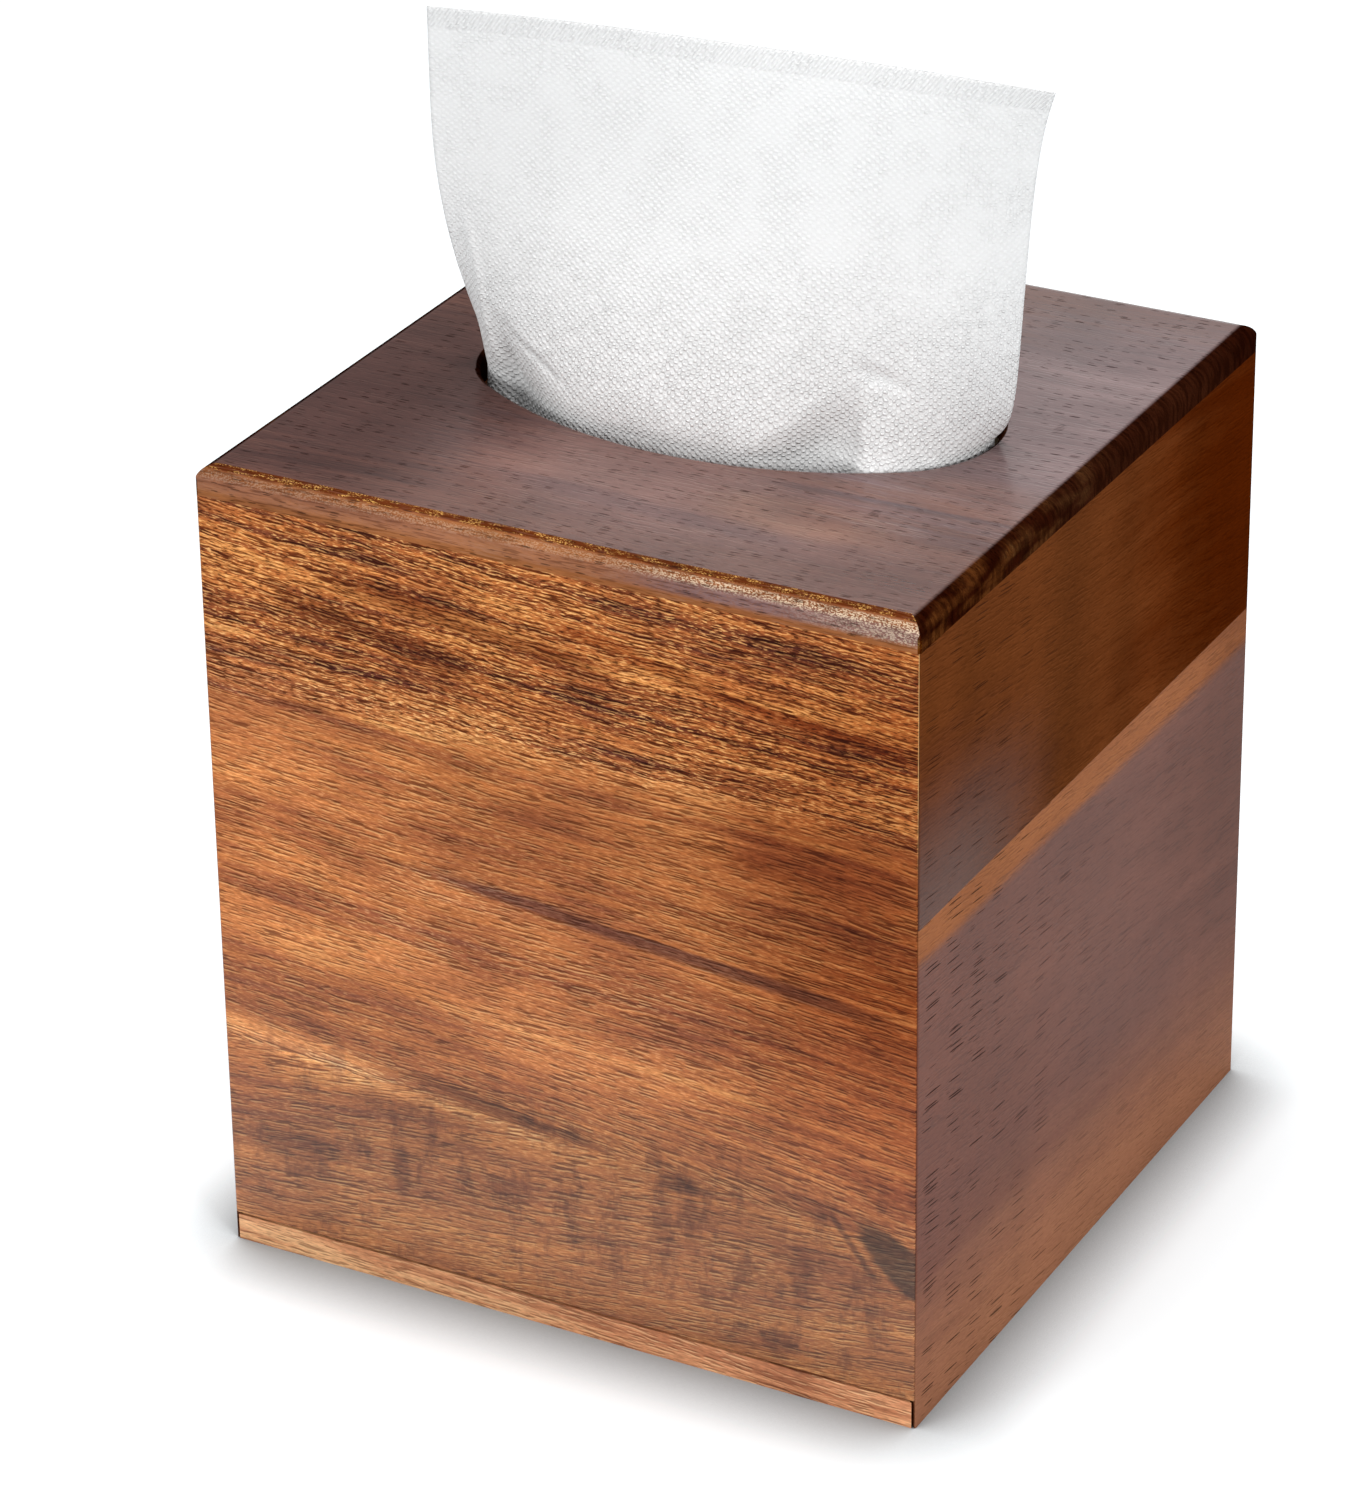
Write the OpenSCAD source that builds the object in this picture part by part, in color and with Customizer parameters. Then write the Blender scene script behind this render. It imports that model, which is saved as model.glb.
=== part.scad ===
// Square tissue box cover in solid wood. Four mitred walls carry a top panel with an oval opening, and a
// base slides out forwards on grooves in the walls. A carton of folded tissues stands inside, and one tissue
// stands up through the opening.
// Millimetres. The origin is the centre of the foot, +X runs to the right along the front, +Y to the back.

/* [Cover] */
// Width of the cover, side to side
cover_w = 139; // [132:1:150]
// Depth of the cover, front to back
cover_d = 139; // [130:1:150]
// Height of the cover, foot to top face
cover_h = 156; // [148:1:172]
// Thickness of the four walls
wall_t = 7; // [5.5:0.5:8.5]
// Thickness of the top panel
top_t = 5.5; // [4.5:0.5:8]
// Roundover along the top panel's upper edges
edge_r = 3; // [1:0.5:4]
// Radius of the eased upright corners
corner_r = 0.6; // [0.3:0.1:1.5]
// Height of the glue line between the right wall's two boards
glue_h = 99; // [60:1:120]

/* [Oval opening] */
// Length of the opening, side to side
hole_w = 99; // [90:1:104]
// Width of the opening, front to back
hole_d = 57; // [50:1:62]
// Roundover along the opening's upper rim
rim_r = 1; // [0.4:0.1:1.6]

/* [Sliding base] */
// Height of the base's front strip
strip_h = 5.2; // [4.8:0.1:7]
// Gap round the front strip, seen as a dark line
strip_gap = 0.5; // [0.3:0.1:0.8]
// Thickness of the base panel
base_t = 3; // [2.4:0.1:3.4]
// Depth of the grooves that hold the base panel
groove_depth = 2.5; // [1.5:0.1:3.5]
// Play between the base panel and its grooves
groove_gap = 0.2; // [0.15:0.05:0.3]

/* [Carton] */
// Space between the carton's top and the top panel
head_gap = 18.3; // [10:0.1:26]
// Space between the carton and each wall
carton_gap = 2.5; // [1.5:0.5:4]
// Thickness of the carton's board
board_t = 0.6; // [0.4:0.1:1]
// How far the carton's opening lies outside the cover's opening
mouth_margin = 2; // [1:0.5:3]

/* [Tissues] */
// Height of the tissues that are used up, above those that are left
used_h = 51.8; // [46:0.1:80]
// Space between the folded tissues and the carton's left and right sides
stack_side_gap = 0.6; // [0.4:0.1:2]
// Space between the folded tissues and the carton's front and back
stack_end_gap = 10; // [4:1:16]
// Radius of the stack's soft long edges
stack_edge_r = 4; // [2:0.5:8]
// Height of the standing tissue above the cover
sheet_rise = 67.5; // [50:0.5:90]
// Thickness of the standing tissue with its emboss
sheet_t = 0.6; // [0.4:0.1:1]
// Gap between the standing tissue and the opening's edge
sheet_gap = 0.6; // [0.4:0.1:1.5]

/* [Hidden] */
$fn = 96;
// Overrun of the cutting shapes past the faces that they cut
over = 1;

// Sizes that follow from the cover's
wall_h = cover_h - top_t;
inner_w = cover_w - 2 * wall_t;
inner_d = cover_d - 2 * wall_t;
front_wall_z = strip_h + strip_gap;

// The base panel lies level with the top of its front strip
panel_z = strip_h - base_t;
groove_z = panel_z - groove_gap;
groove_h = base_t + 2 * groove_gap;
tongue = groove_depth - groove_gap;

// The oval opening is drawn with four arcs that meet smoothly: two end arcs and two long flanks. An end
// arc's centre, a flank's centre and the oval's centre make a right triangle with sides of 28, 45 and 53
// parts, so all its centres and radii come out as round numbers.
triangle_w_share = 28;
triangle_d_share = 45;
triangle_long_share = 53;
part_w = (hole_w - hole_d) / 2 / (triangle_w_share + triangle_d_share - triangle_long_share);
end_x = part_w * triangle_w_share;
flank_y = part_w * triangle_d_share;
hole_end_r = hole_d / 2 + flank_y - part_w * triangle_long_share;
flank_r = hole_d / 2 + flank_y;
flank_angle = atan2(end_x, flank_y);
// How far the lines on which the arcs meet are drawn, in steps of the triangle
far_share = 5;

// The carton stands on the base panel
carton_w = inner_w - 2 * carton_gap;
carton_d = inner_d - 2 * carton_gap;
carton_z = strip_h;
carton_h = wall_h - head_gap - carton_z;
mouth_z = carton_z + carton_h - board_t;

// The stack of folded tissues lies on the carton's floor
stack_w = carton_w - 2 * board_t - 2 * stack_side_gap;
stack_d = carton_d - 2 * board_t - 2 * stack_end_gap;
stack_z = carton_z + board_t;
stack_h = carton_h - 2 * board_t - used_h;
stack_top = stack_z + stack_h;

// The standing tissue is as wide as the stack that it came from. Its foot is straight, it bends forwards
// along the opening's front edge, and it straightens again above the cover.
sheet_w = stack_w;
rest_gap = 0.3;
foot_z = stack_top + rest_gap;
foot_y = -12;
foot_rise = 24;
sheet_shift = 5.5;
sheet_top_x = 4;
sheet_top_y = -8;
sheet_top_turn = 4.7;
sheet_top_bow = 1;
sheet_top_crown = 1.4;
sheet_top_chord_share = 0.985;
left_spread_h = 50;
right_spread_h = 4;
right_spread_share = 0.36;
right_corner_share = 0.28;
dent_reach_down = 20;
valley_s = 26;
valley_w = 8;
valley_depth = 1.9;
valley_h = 18;
cheek_s = 45;
cheek_w = 6;
cheek_depth = 0.9;
cheek_h = 16;
recess_s = -33;
recess_w = 14;
recess_depth = 3;
recess_h = 11;
recess_fall = 17;
margin_s = -46;
margin_w = 6;
margin_depth = 1.2;
margin_h = 8;
sheet_cols = 26;
foot_rows = 4;
neck_rows = 4;
rise_rows = 12;
row_crowding = 1.3;

// Shapes shared by several pieces

// Square outline with eased corners
module eased_square(w, d, r) {
    square([w - 2 * r, d], center = true);
    square([w, d - 2 * r], center = true);
    for (x = [-1, 1], y = [-1, 1])
        translate([x * (w / 2 - r), y * (d / 2 - r)]) circle(r = r);
}

// Outline of a bar that is rounded along its two upper edges, centred, with its foot at zero
module rounded_bar(w, h, r) {
    translate([-w / 2, 0]) square([w, h - r]);
    translate([r - w / 2, 0]) square([w - 2 * r, h]);
    for (x = [-1, 1]) translate([x * (w / 2 - r), h - r]) circle(r = r);
}

// Plan of a wall along the front: full width outside, mitred to the inner width
module mitred_plan(w, d, t) {
    intersection() {
        polygon([[-w / 2, -d / 2], [w / 2, -d / 2], [w / 2 - t, t - d / 2], [t - w / 2, t - d / 2]]);
        eased_square(w, d, corner_r);
    }
}

// Wedge of the plan that holds the right end's arc
module end_wedge() {
    polygon([[end_x, 0], [far_share * end_x, (far_share - 1) * flank_y],
        [far_share * end_x, (1 - far_share) * flank_y]]);
}

// Rest of the plan between the two wedges, one half of it or both
module flank_wedge(both) {
    polygon(concat([[-end_x, 0], [-far_share * end_x, (far_share - 1) * flank_y],
        [far_share * end_x, (far_share - 1) * flank_y], [end_x, 0]],
        both ? [[far_share * end_x, (1 - far_share) * flank_y],
            [-far_share * end_x, (1 - far_share) * flank_y]] : []));
}

// Four-arc oval of the opening, grown by a margin
module oval_plan(grow) {
    for (turn = [0, 180]) rotate([0, 0, turn]) intersection() {
        translate([end_x, 0]) circle(r = hole_end_r + grow);
        end_wedge();
    }
    intersection() {
        translate([0, -flank_y]) circle(r = flank_r + grow);
        translate([0, flank_y]) circle(r = flank_r + grow);
        flank_wedge(true);
    }
}

// Ring that rounds the opening's upper rim along one arc, turned about the arc's centre
module rim_ring(r) {
    rotate_extrude() difference() {
        translate([r - rim_r, -rim_r]) square([2 * rim_r, rim_r]);
        translate([r + rim_r, -rim_r]) circle(r = rim_r);
    }
}

// Space of the groove that the base panel slides in, open at the front
module groove_space() {
    translate([-inner_w / 2 - groove_depth, -cover_d / 2 - over, groove_z])
        cube([inner_w + 2 * groove_depth, cover_d - wall_t + groove_depth + over, groove_h]);
}

// The cover

module top_panel() {
    color("#6b4432") difference() {
        intersection() {
            translate([0, cover_d / 2, wall_h]) rotate([90, 0, 0])
                linear_extrude(height = cover_d) rounded_bar(cover_w, top_t, edge_r);
            translate([-cover_w / 2, 0, wall_h]) rotate([90, 0, 90])
                linear_extrude(height = cover_w) rounded_bar(cover_d, top_t, edge_r);
            translate([0, 0, wall_h]) linear_extrude(height = top_t) eased_square(cover_w, cover_d, corner_r);
        }
        translate([0, 0, wall_h - over]) linear_extrude(height = top_t + 2 * over) oval_plan(0);
        for (turn = [0, 180]) rotate([0, 0, turn]) {
            intersection() {
                translate([end_x, 0, cover_h]) rim_ring(hole_end_r);
                translate([0, 0, wall_h]) linear_extrude(height = top_t + over) end_wedge();
            }
            intersection() {
                translate([0, -flank_y, cover_h]) rim_ring(flank_r);
                translate([0, 0, wall_h]) linear_extrude(height = top_t + over) flank_wedge(false);
            }
        }
    }
}

module front_wall() {
    color("#a5673f") translate([0, 0, front_wall_z])
        linear_extrude(height = wall_h - front_wall_z) mitred_plan(cover_w, cover_d, wall_t);
}

module back_wall() {
    color("#9c6240") difference() {
        rotate([0, 0, 180]) linear_extrude(height = wall_h) mitred_plan(cover_w, cover_d, wall_t);
        groove_space();
    }
}

// One side wall, or a board of it, between two heights. The side is -1 on the left and 1 on the right.
module side_wall(side, low, high) {
    difference() {
        translate([0, 0, low]) rotate([0, 0, side * 90])
            linear_extrude(height = high - low) mitred_plan(cover_d, cover_w, wall_t);
        groove_space();
    }
}

module left_wall() {
    color("#94593a") side_wall(-1, 0, wall_h);
}

module right_wall_upper_board() {
    color("#6e3b22") side_wall(1, glue_h, wall_h);
}

module right_wall_lower_board() {
    color("#7b5a50") side_wall(1, 0, glue_h);
}

module base_panel() {
    half_w = inner_w / 2 + tongue;
    color("#a9754e") translate([-half_w, -inner_d / 2, panel_z])
        cube([2 * half_w, inner_d + tongue, base_t]);
}

// The strip's ends are mitred like the front wall's, with the gap measured square to the mitre
module base_front_strip() {
    pull_in = strip_gap * sqrt(2);
    color("#b27c56") linear_extrude(height = strip_h) intersection() {
        polygon([[pull_in - cover_w / 2, -cover_d / 2], [cover_w / 2 - pull_in, -cover_d / 2],
            [inner_w / 2 - pull_in, -inner_d / 2], [pull_in - inner_w / 2, -inner_d / 2]]);
        eased_square(cover_w, cover_d, corner_r);
    }
}

// What the cover holds

module tissue_carton() {
    color("#c9b79b") difference() {
        translate([-carton_w / 2, -carton_d / 2, carton_z]) cube([carton_w, carton_d, carton_h]);
        translate([board_t - carton_w / 2, board_t - carton_d / 2, carton_z + board_t])
            cube([carton_w - 2 * board_t, carton_d - 2 * board_t, carton_h - 2 * board_t]);
        translate([0, 0, mouth_z - over]) linear_extrude(height = board_t + 2 * over)
            oval_plan(mouth_margin);
    }
}

module tissue_stack() {
    color("#f2f2f2") translate([-stack_w / 2, 0, stack_z + stack_h / 2]) rotate([90, 0, 90])
        linear_extrude(height = stack_w) eased_square(stack_d, stack_h, stack_edge_r);
}

// Point on the front of the opening, set in by the gap, at an arc length from the front's middle
function oval_front(s) =
    let (long_r = flank_r - sheet_gap, short_r = hole_end_r - sheet_gap,
        long_s = long_r * flank_angle * PI / 180, way = abs(s), hand = s < 0 ? -1 : 1,
        turn = way < long_s ? way / long_r * 180 / PI
            : flank_angle + (way - long_s) / short_r * 180 / PI)
    way < long_s ? [hand * long_r * sin(turn), flank_y - long_r * cos(turn)]
        : [hand * (end_x + short_r * sin(turn)), -short_r * cos(turn)];

// Point on the tissue's top edge, gently bowed to the front
function sheet_top(s) =
    let (along = s * sheet_top_chord_share, bow = sheet_top_bow * (1 - pow(2 * s / sheet_w, 2)))
    [sheet_top_x + along * cos(sheet_top_turn) + bow * sin(sheet_top_turn),
        sheet_top_y + along * sin(sheet_top_turn) - bow * cos(sheet_top_turn)];

function smooth(t) = t <= 0 ? 0 : t >= 1 ? 1 : t * t * (3 - 2 * t);

function bump(s, middle, width) = exp(-pow((s - middle) / width, 2));

// How far the tissue is pressed in from the opening's edge: hollows on both sides of the upright fold at the
// right, a hollow at the left whose upper end rises to the left, and the left margin. Each fades out above
// the cover, and all fade out inside it.
function dent(s, h) =
    let (at = s + sheet_shift, below = smooth(1 + h / dent_reach_down),
        recess_top = recess_h + (recess_s - at) * tan(recess_fall))
    below * (valley_depth * bump(at, valley_s, valley_w) * (1 - smooth(h / valley_h))
        + cheek_depth * bump(at, cheek_s, cheek_w) * (1 - smooth(h / cheek_h))
        + recess_depth * bump(at, recess_s, recess_w) * (1 - smooth(h / max(recess_top, sheet_t)))
        + margin_depth * smooth((margin_s - at) / margin_w) * (1 - smooth(h / margin_h)));

// How far the tissue has gone from the opening's edge, at zero, to its top edge, at one. The left margin
// spreads fast and then stands upright, the right margin springs out, and the middle leans back evenly.
function spread(s, h) =
    let (share = max(0, min(1, s / sheet_w + 1 / 2)), up = h / sheet_rise, at_left = pow(1 - share, 2.5),
        at_right = pow(share, 2.5),
        left = 1 - pow(1 - min(1, h / left_spread_h), 2),
        right = right_spread_share * (1 - exp(-h / right_spread_h)) + right_corner_share * pow(up, 6)
            + (1 - right_spread_share - right_corner_share) * up)
    at_left * left + at_right * right + (1 - at_left - at_right) * pow(up, 1.2);

// Plan of the tissue at a height, before its dents
function sheet_plan(s, z) =
    let (h = z - cover_h, foot = smooth((z - foot_z) / foot_rise), rim = oval_front(s + sheet_shift),
        gone = h <= 0 ? 0 : spread(s, h))
    z < cover_h ? [s, foot_y] * (1 - foot) + rim * foot : rim * (1 - gone) + sheet_top(s) * gone;

// Inward direction of the tissue at a height, square to its plan
function sheet_inward(s, z) =
    let (step = sheet_w / sheet_cols / 4, d = sheet_plan(s + step, z) - sheet_plan(s - step, z))
    [-d[1], d[0]] / norm(d);

// Point on the tissue, some way in from its front face. The middle of its top edge stands a little higher.
function sheet_point(s, z, deep) =
    let (p = sheet_plan(s, z) + (deep + dent(s, z - cover_h)) * sheet_inward(s, z),
        crown = sheet_top_crown * (1 - pow(2 * s / sheet_w, 2)) * max(0, z - cover_h) / sheet_rise)
    [p[0], p[1], z + crown];

module tissue_sheet() {
    neck_z = foot_z + foot_rise;
    heights = concat(
        [for (i = [0 : foot_rows - 1]) foot_z + foot_rise * i / foot_rows],
        [for (i = [0 : neck_rows - 1]) cover_h - (cover_h - neck_z) * pow(1 - i / neck_rows, 2)],
        [for (i = [0 : rise_rows]) cover_h + sheet_rise * pow(i / rise_rows, row_crowding)]);
    rows = len(heights);
    cols = sheet_cols + 1;
    layer = rows * cols;
    points = [for (deep = [0, sheet_t], z = heights, i = [0 : sheet_cols])
        sheet_point((i / sheet_cols - 1 / 2) * sheet_w, z, deep)];
    rim = concat([for (i = [0 : cols - 1]) i], [for (j = [1 : rows - 1]) j * cols + cols - 1],
        [for (i = [cols - 2 : -1 : 0]) (rows - 1) * cols + i], [for (j = [rows - 2 : -1 : 1]) j * cols]);
    faces = concat(
        [for (j = [0 : rows - 2], i = [0 : cols - 2]) let (a = j * cols + i)
            each [[a, a + cols, a + 1], [a + 1, a + cols, a + cols + 1]]],
        [for (j = [0 : rows - 2], i = [0 : cols - 2]) let (a = layer + j * cols + i)
            each [[a, a + 1, a + cols], [a + 1, a + cols + 1, a + cols]]],
        [for (k = [0 : len(rim) - 1]) let (a = rim[k], b = rim[(k + 1) % len(rim)])
            each [[a, b, layer + a], [b, layer + b, layer + a]]]);
    color("#f4f4f4") polyhedron(points = points, faces = faces);
}

top_panel();
front_wall();
back_wall();
left_wall();
right_wall_upper_board();
right_wall_lower_board();
base_panel();
base_front_strip();
tissue_carton();
tissue_stack();
tissue_sheet();
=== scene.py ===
"""Square tissue box cover in solid wood: finishes, soft pieces, light and camera.

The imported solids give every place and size, in metres. The wooden boards keep their own shapes and are
dressed in grain that runs through each board. The standing tissue and the pile of folded tissues inside are
modelled here, in the space that their plain solids hold.
"""

import logging
import math
from contextlib import contextmanager
from dataclasses import dataclass, field
from enum import Enum
from typing import Callable, Iterator, Union

import bmesh
import bpy
import numpy as np
from mathutils import Matrix, Vector


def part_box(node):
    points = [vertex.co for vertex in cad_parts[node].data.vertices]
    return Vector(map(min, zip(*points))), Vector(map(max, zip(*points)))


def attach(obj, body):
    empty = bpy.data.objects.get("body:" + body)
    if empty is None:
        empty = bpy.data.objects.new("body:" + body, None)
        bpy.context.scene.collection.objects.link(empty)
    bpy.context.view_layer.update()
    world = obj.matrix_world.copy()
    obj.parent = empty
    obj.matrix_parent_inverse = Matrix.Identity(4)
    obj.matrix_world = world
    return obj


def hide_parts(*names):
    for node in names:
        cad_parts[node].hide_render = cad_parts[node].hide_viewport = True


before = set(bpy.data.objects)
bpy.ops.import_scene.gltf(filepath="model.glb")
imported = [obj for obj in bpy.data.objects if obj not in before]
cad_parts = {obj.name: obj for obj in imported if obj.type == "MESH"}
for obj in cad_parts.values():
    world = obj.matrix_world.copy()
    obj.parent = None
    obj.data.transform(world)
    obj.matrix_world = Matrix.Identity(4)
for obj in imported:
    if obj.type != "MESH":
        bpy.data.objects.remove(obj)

LOG = logging.getLogger("tissue_box_cover")
MM = 0.001
FLAT_MM = 100  # millimetres in one unit of a tissue's flat map
CHANNEL_TOP = 255
SRGB_KNEE = 0.04045
SRGB_SLOPE = 12.92
SRGB_OFFSET = 0.055
SRGB_POWER = 2.4
Colour = tuple[float, float, float]
Place = tuple[float, float]
Triple = tuple[float, float, float]


def srgb(red: int, green: int, blue: int) -> Colour:
    """Turns a display colour into the linear colour that shaders use.

    Args:
        red: Red, 0 to 255.
        green: Green, 0 to 255.
        blue: Blue, 0 to 255.

    Returns:
        The linear colour.
    """
    def linear(part: int) -> float:
        """Turns one channel into its linear value.

        Args:
            part: The channel, 0 to 255.

        Returns:
            The linear value, 0 to 1.
        """
        share = part / CHANNEL_TOP
        if share <= SRGB_KNEE:
            return share / SRGB_SLOPE
        return ((share + SRGB_OFFSET) / (1 + SRGB_OFFSET)) ** SRGB_POWER
    return (linear(red), linear(green), linear(blue))


def grey(level: float) -> Colour:
    """Gives a linear grey of one level."""
    return (level, level, level)


class Signal:
    """A shader output with arithmetic: an expression on signals adds its Math nodes."""

    def __init__(self, graph: "Graph", socket: bpy.types.NodeSocket) -> None:
        """Wraps a socket.

        Args:
            graph: The graph that the socket is in.
            socket: The output socket.
        """
        self.graph = graph
        self.socket = socket

    def __add__(self, other: "Value") -> "Signal":
        """Gives self + other."""
        return self.graph.math("ADD", self, other)

    __radd__ = __add__

    def __sub__(self, other: "Value") -> "Signal":
        """Gives self - other."""
        return self.graph.math("SUBTRACT", self, other)

    def __rsub__(self, other: "Value") -> "Signal":
        """Gives other - self."""
        return self.graph.math("SUBTRACT", other, self)

    def __mul__(self, other: "Value") -> "Signal":
        """Gives self * other."""
        return self.graph.math("MULTIPLY", self, other)

    __rmul__ = __mul__

    def __pow__(self, other: "Value") -> "Signal":
        """Gives self to a power."""
        return self.graph.math("POWER", self, other)

    def __abs__(self) -> "Signal":
        """Gives the size without its sign."""
        return self.graph.math("ABSOLUTE", self)

    def root(self) -> "Signal":
        """Gives the square root."""
        return self.graph.math("SQRT", self)

    def swing(self) -> "Signal":
        """Gives how far a noise lies from its middle."""
        return self - 0.5

    def rise(self, low: float, high: float, top: float = 1) -> "Signal":
        """Rises smoothly from 0 to a top value as the signal passes from low to high.

        Args:
            low: Where the rise starts.
            high: Where it ends.
            top: The value past high.

        Returns:
            The rising signal.
        """
        return self.graph.add(
            "MapRange", {"interpolation_type": "SMOOTHSTEP"},
            {"Value": self, "From Min": low, "From Max": high, "To Max": top})


Value = Union[Signal, float]


class Graph:
    """The node tree of one material or world."""

    def __init__(self, owner: bpy.types.Material | bpy.types.World) -> None:
        """Empties the owner's node tree.

        Args:
            owner: The material or world.
        """
        self.owner = owner
        owner.use_nodes = True
        self.tree = owner.node_tree
        self.tree.nodes.clear()

    def feed(self, socket: bpy.types.NodeSocket, value: object) -> None:
        """Links a signal to an input, or sets the input's own value.

        Args:
            socket: The input.
            value: A signal, or a value that the input takes, with three numbers for a colour.
        """
        if isinstance(value, Signal):
            self.tree.links.new(value.socket, socket)
        elif socket.type == "RGBA":
            socket.default_value = (*value, 1)
        else:
            socket.default_value = value

    def add(self, kind: str, settings: dict | None = None, inputs: dict | None = None,
            output: str | int = 0) -> Signal:
        """Adds one node.

        Args:
            kind: The node's type, without its ShaderNode prefix.
            settings: The node's own settings, set before its inputs. "stops" sets a ramp's stops.
            inputs: A value or a signal for each input, by name or number.
            output: The output to return, by name or number.

        Returns:
            The chosen output as a signal.
        """
        node = self.tree.nodes.new("ShaderNode" + kind)
        for name, setting in (settings or {}).items():
            if name == "stops":
                self.set_stops(node, setting)
            else:
                setattr(node, name, setting)
        for name, value in (inputs or {}).items():
            self.feed(node.inputs[name], value)
        return Signal(self, node.outputs[output])

    @staticmethod
    def set_stops(node: bpy.types.Node, stops: list[tuple[float, Colour]]) -> None:
        """Gives a colour ramp its stops.

        Args:
            node: The colour ramp.
            stops: Each stop's place and colour, in rising order.
        """
        elements = node.color_ramp.elements
        while len(elements) < len(stops):
            elements.new(1)
        for element, (place, colour) in zip(elements, stops):
            element.position = place
            element.color = (*colour, 1)

    def math(self, operation: str, *values: Value) -> Signal:
        """Adds a Math node on one or more values."""
        return self.add("Math", {"operation": operation}, dict(enumerate(values)))

    def vector(self, *parts: Value) -> Signal:
        """Joins three values into a vector."""
        return self.add("CombineXYZ", inputs=dict(enumerate(parts)))

    def parts(self, vector: Signal) -> list[Signal]:
        """Splits a vector into its three parts."""
        first = self.add("SeparateXYZ", inputs={"Vector": vector})
        return [Signal(self, socket) for socket in first.socket.node.outputs]

    def noise(self, vector: Signal, scale: float = 1, detail: float = 2, roughness: float = 0.5,
              distortion: float = 0) -> Signal:
        """Adds a noise that lies round 0.5.

        Args:
            vector: Where it is read.
            scale: How fast it changes.
            detail: How many finer layers it has.
            roughness: How strong each finer layer is.
            distortion: How far it is twisted.

        Returns:
            The noise.
        """
        return self.add("TexNoise", {"noise_dimensions": "3D"},
                        {"Vector": vector, "Scale": scale, "Detail": detail, "Roughness": roughness,
                         "Distortion": distortion})

    def mix(self, share: Value, first: object, second: object, blend: str = "MIX") -> Signal:
        """Mixes two colours.

        Args:
            share: How much of the second colour shows.
            first: The colour at a share of 0.
            second: The colour at a share of 1.
            blend: The blend type.

        Returns:
            The mixed colour.
        """
        settings = {"data_type": "RGBA", "blend_type": blend, "clamp_factor": True}
        return self.add("Mix", settings, {0: share, 6: first, 7: second}, output=2)

    def finish(self, **inputs: object) -> bpy.types.Material:
        """Adds the surface shader and closes the material.

        Args:
            **inputs: The shader's inputs, with underscores for spaces.

        Returns:
            The finished material.
        """
        named = {name.replace("_", " "): value for name, value in inputs.items()}
        self.close(self.add("BsdfPrincipled", inputs=named))
        return self.owner

    def close(self, surface: Signal, kind: str = "Material") -> None:
        """Links the last shader to a new output node."""
        output = self.tree.nodes.new("ShaderNodeOutput" + kind)
        self.feed(output.inputs["Surface"], surface)


class Grain(Enum):
    """Which way a board's grain runs: the axes along it, across it and through the board."""

    WIDTH_ON_UPRIGHT = (0, 2, 1)
    DEPTH_ON_UPRIGHT = (1, 2, 0)
    WIDTH_ON_FLAT = (0, 1, 2)


@dataclass(frozen=True)
class Streak:
    """A long mark that follows the grain, in millimetres on the board's face."""

    start: Place
    end: Place
    half_width: float
    tint: Colour
    ragged: float = 3
    soft: float = 0.8
    dull: float = 0
    fade_in: Place = (-0.1, 0.15)
    fade_out: Place = (0.8, 1.1)

    def mask(self, along: Signal, across: Signal, rough: Signal) -> Signal:
        """Gives 1 inside the mark and 0 outside.

        Args:
            along: Place along the board, in millimetres.
            across: Place across the board, in millimetres.
            rough: A noise round 0 that frays the edges.

        Returns:
            The mask.
        """
        run = (self.end[0] - self.start[0], self.end[1] - self.start[1])
        length = math.hypot(*run)
        right, up = along - self.start[0], across - self.start[1]
        way = right * (run[0] / length**2) + up * (run[1] / length**2)
        off = up * (run[0] / length) - right * (run[1] / length) + rough * self.ragged
        inside = 1 - abs(off).rise(self.half_width * (1 - self.soft), self.half_width)
        return inside * way.rise(*self.fade_in) * (1 - way.rise(*self.fade_out))


@dataclass(frozen=True)
class Patch:
    """A soft oval mark, in millimetres on the board's face."""

    middle: Place
    reach: Place
    tint: Colour
    ragged: float = 0.5
    soft: float = 0.6
    lean: float = 0
    dull: float = 0

    def mask(self, along: Signal, across: Signal, rough: Signal) -> Signal:
        """Gives 1 at the mark's middle and 0 outside.

        Args:
            along: Place along the board, in millimetres.
            across: Place across the board, in millimetres.
            rough: A noise round 0 that frays the edges.

        Returns:
            The mask.
        """
        rise = across - self.middle[1]
        x = (along - self.middle[0] - rise * self.lean) * (1 / self.reach[0])
        y = rise * (1 / self.reach[1])
        far = (x * x + y * y).root() + rough * self.ragged
        return 1 - far.rise(1 - self.soft, 1)


@dataclass(frozen=True)
class Fade:
    """A value that changes over a board, along or across it, between two places in millimetres."""

    low: float
    high: float
    start: float = 0
    end: float = 1
    across: bool = True

    def signal(self, along: Signal, across: Signal) -> Value:
        """Gives the value over the board.

        Args:
            along: Place along the board, in millimetres.
            across: Place across the board, in millimetres.

        Returns:
            The value, which is one plain number where it does not change.
        """
        if self.low == self.high:
            return self.low
        way = across if self.across else along
        return self.low + way.rise(self.start, self.end) * (self.high - self.low)


@dataclass(frozen=True)
class Swirl:
    """A line across a board below which the grain runs another way."""

    start: Place
    end: Place
    fall: float

    def below(self, along: Signal, across: Signal) -> Signal:
        """Gives 1 below the line and 0 above it.

        Args:
            along: Place along the board, in millimetres.
            across: Place across the board, in millimetres.

        Returns:
            The mask.
        """
        slope = (self.end[1] - self.start[1]) / (self.end[0] - self.start[0])
        line = (along - self.start[0]) * slope + self.start[1]
        return across.graph.math("LESS_THAN", across, line)


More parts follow.
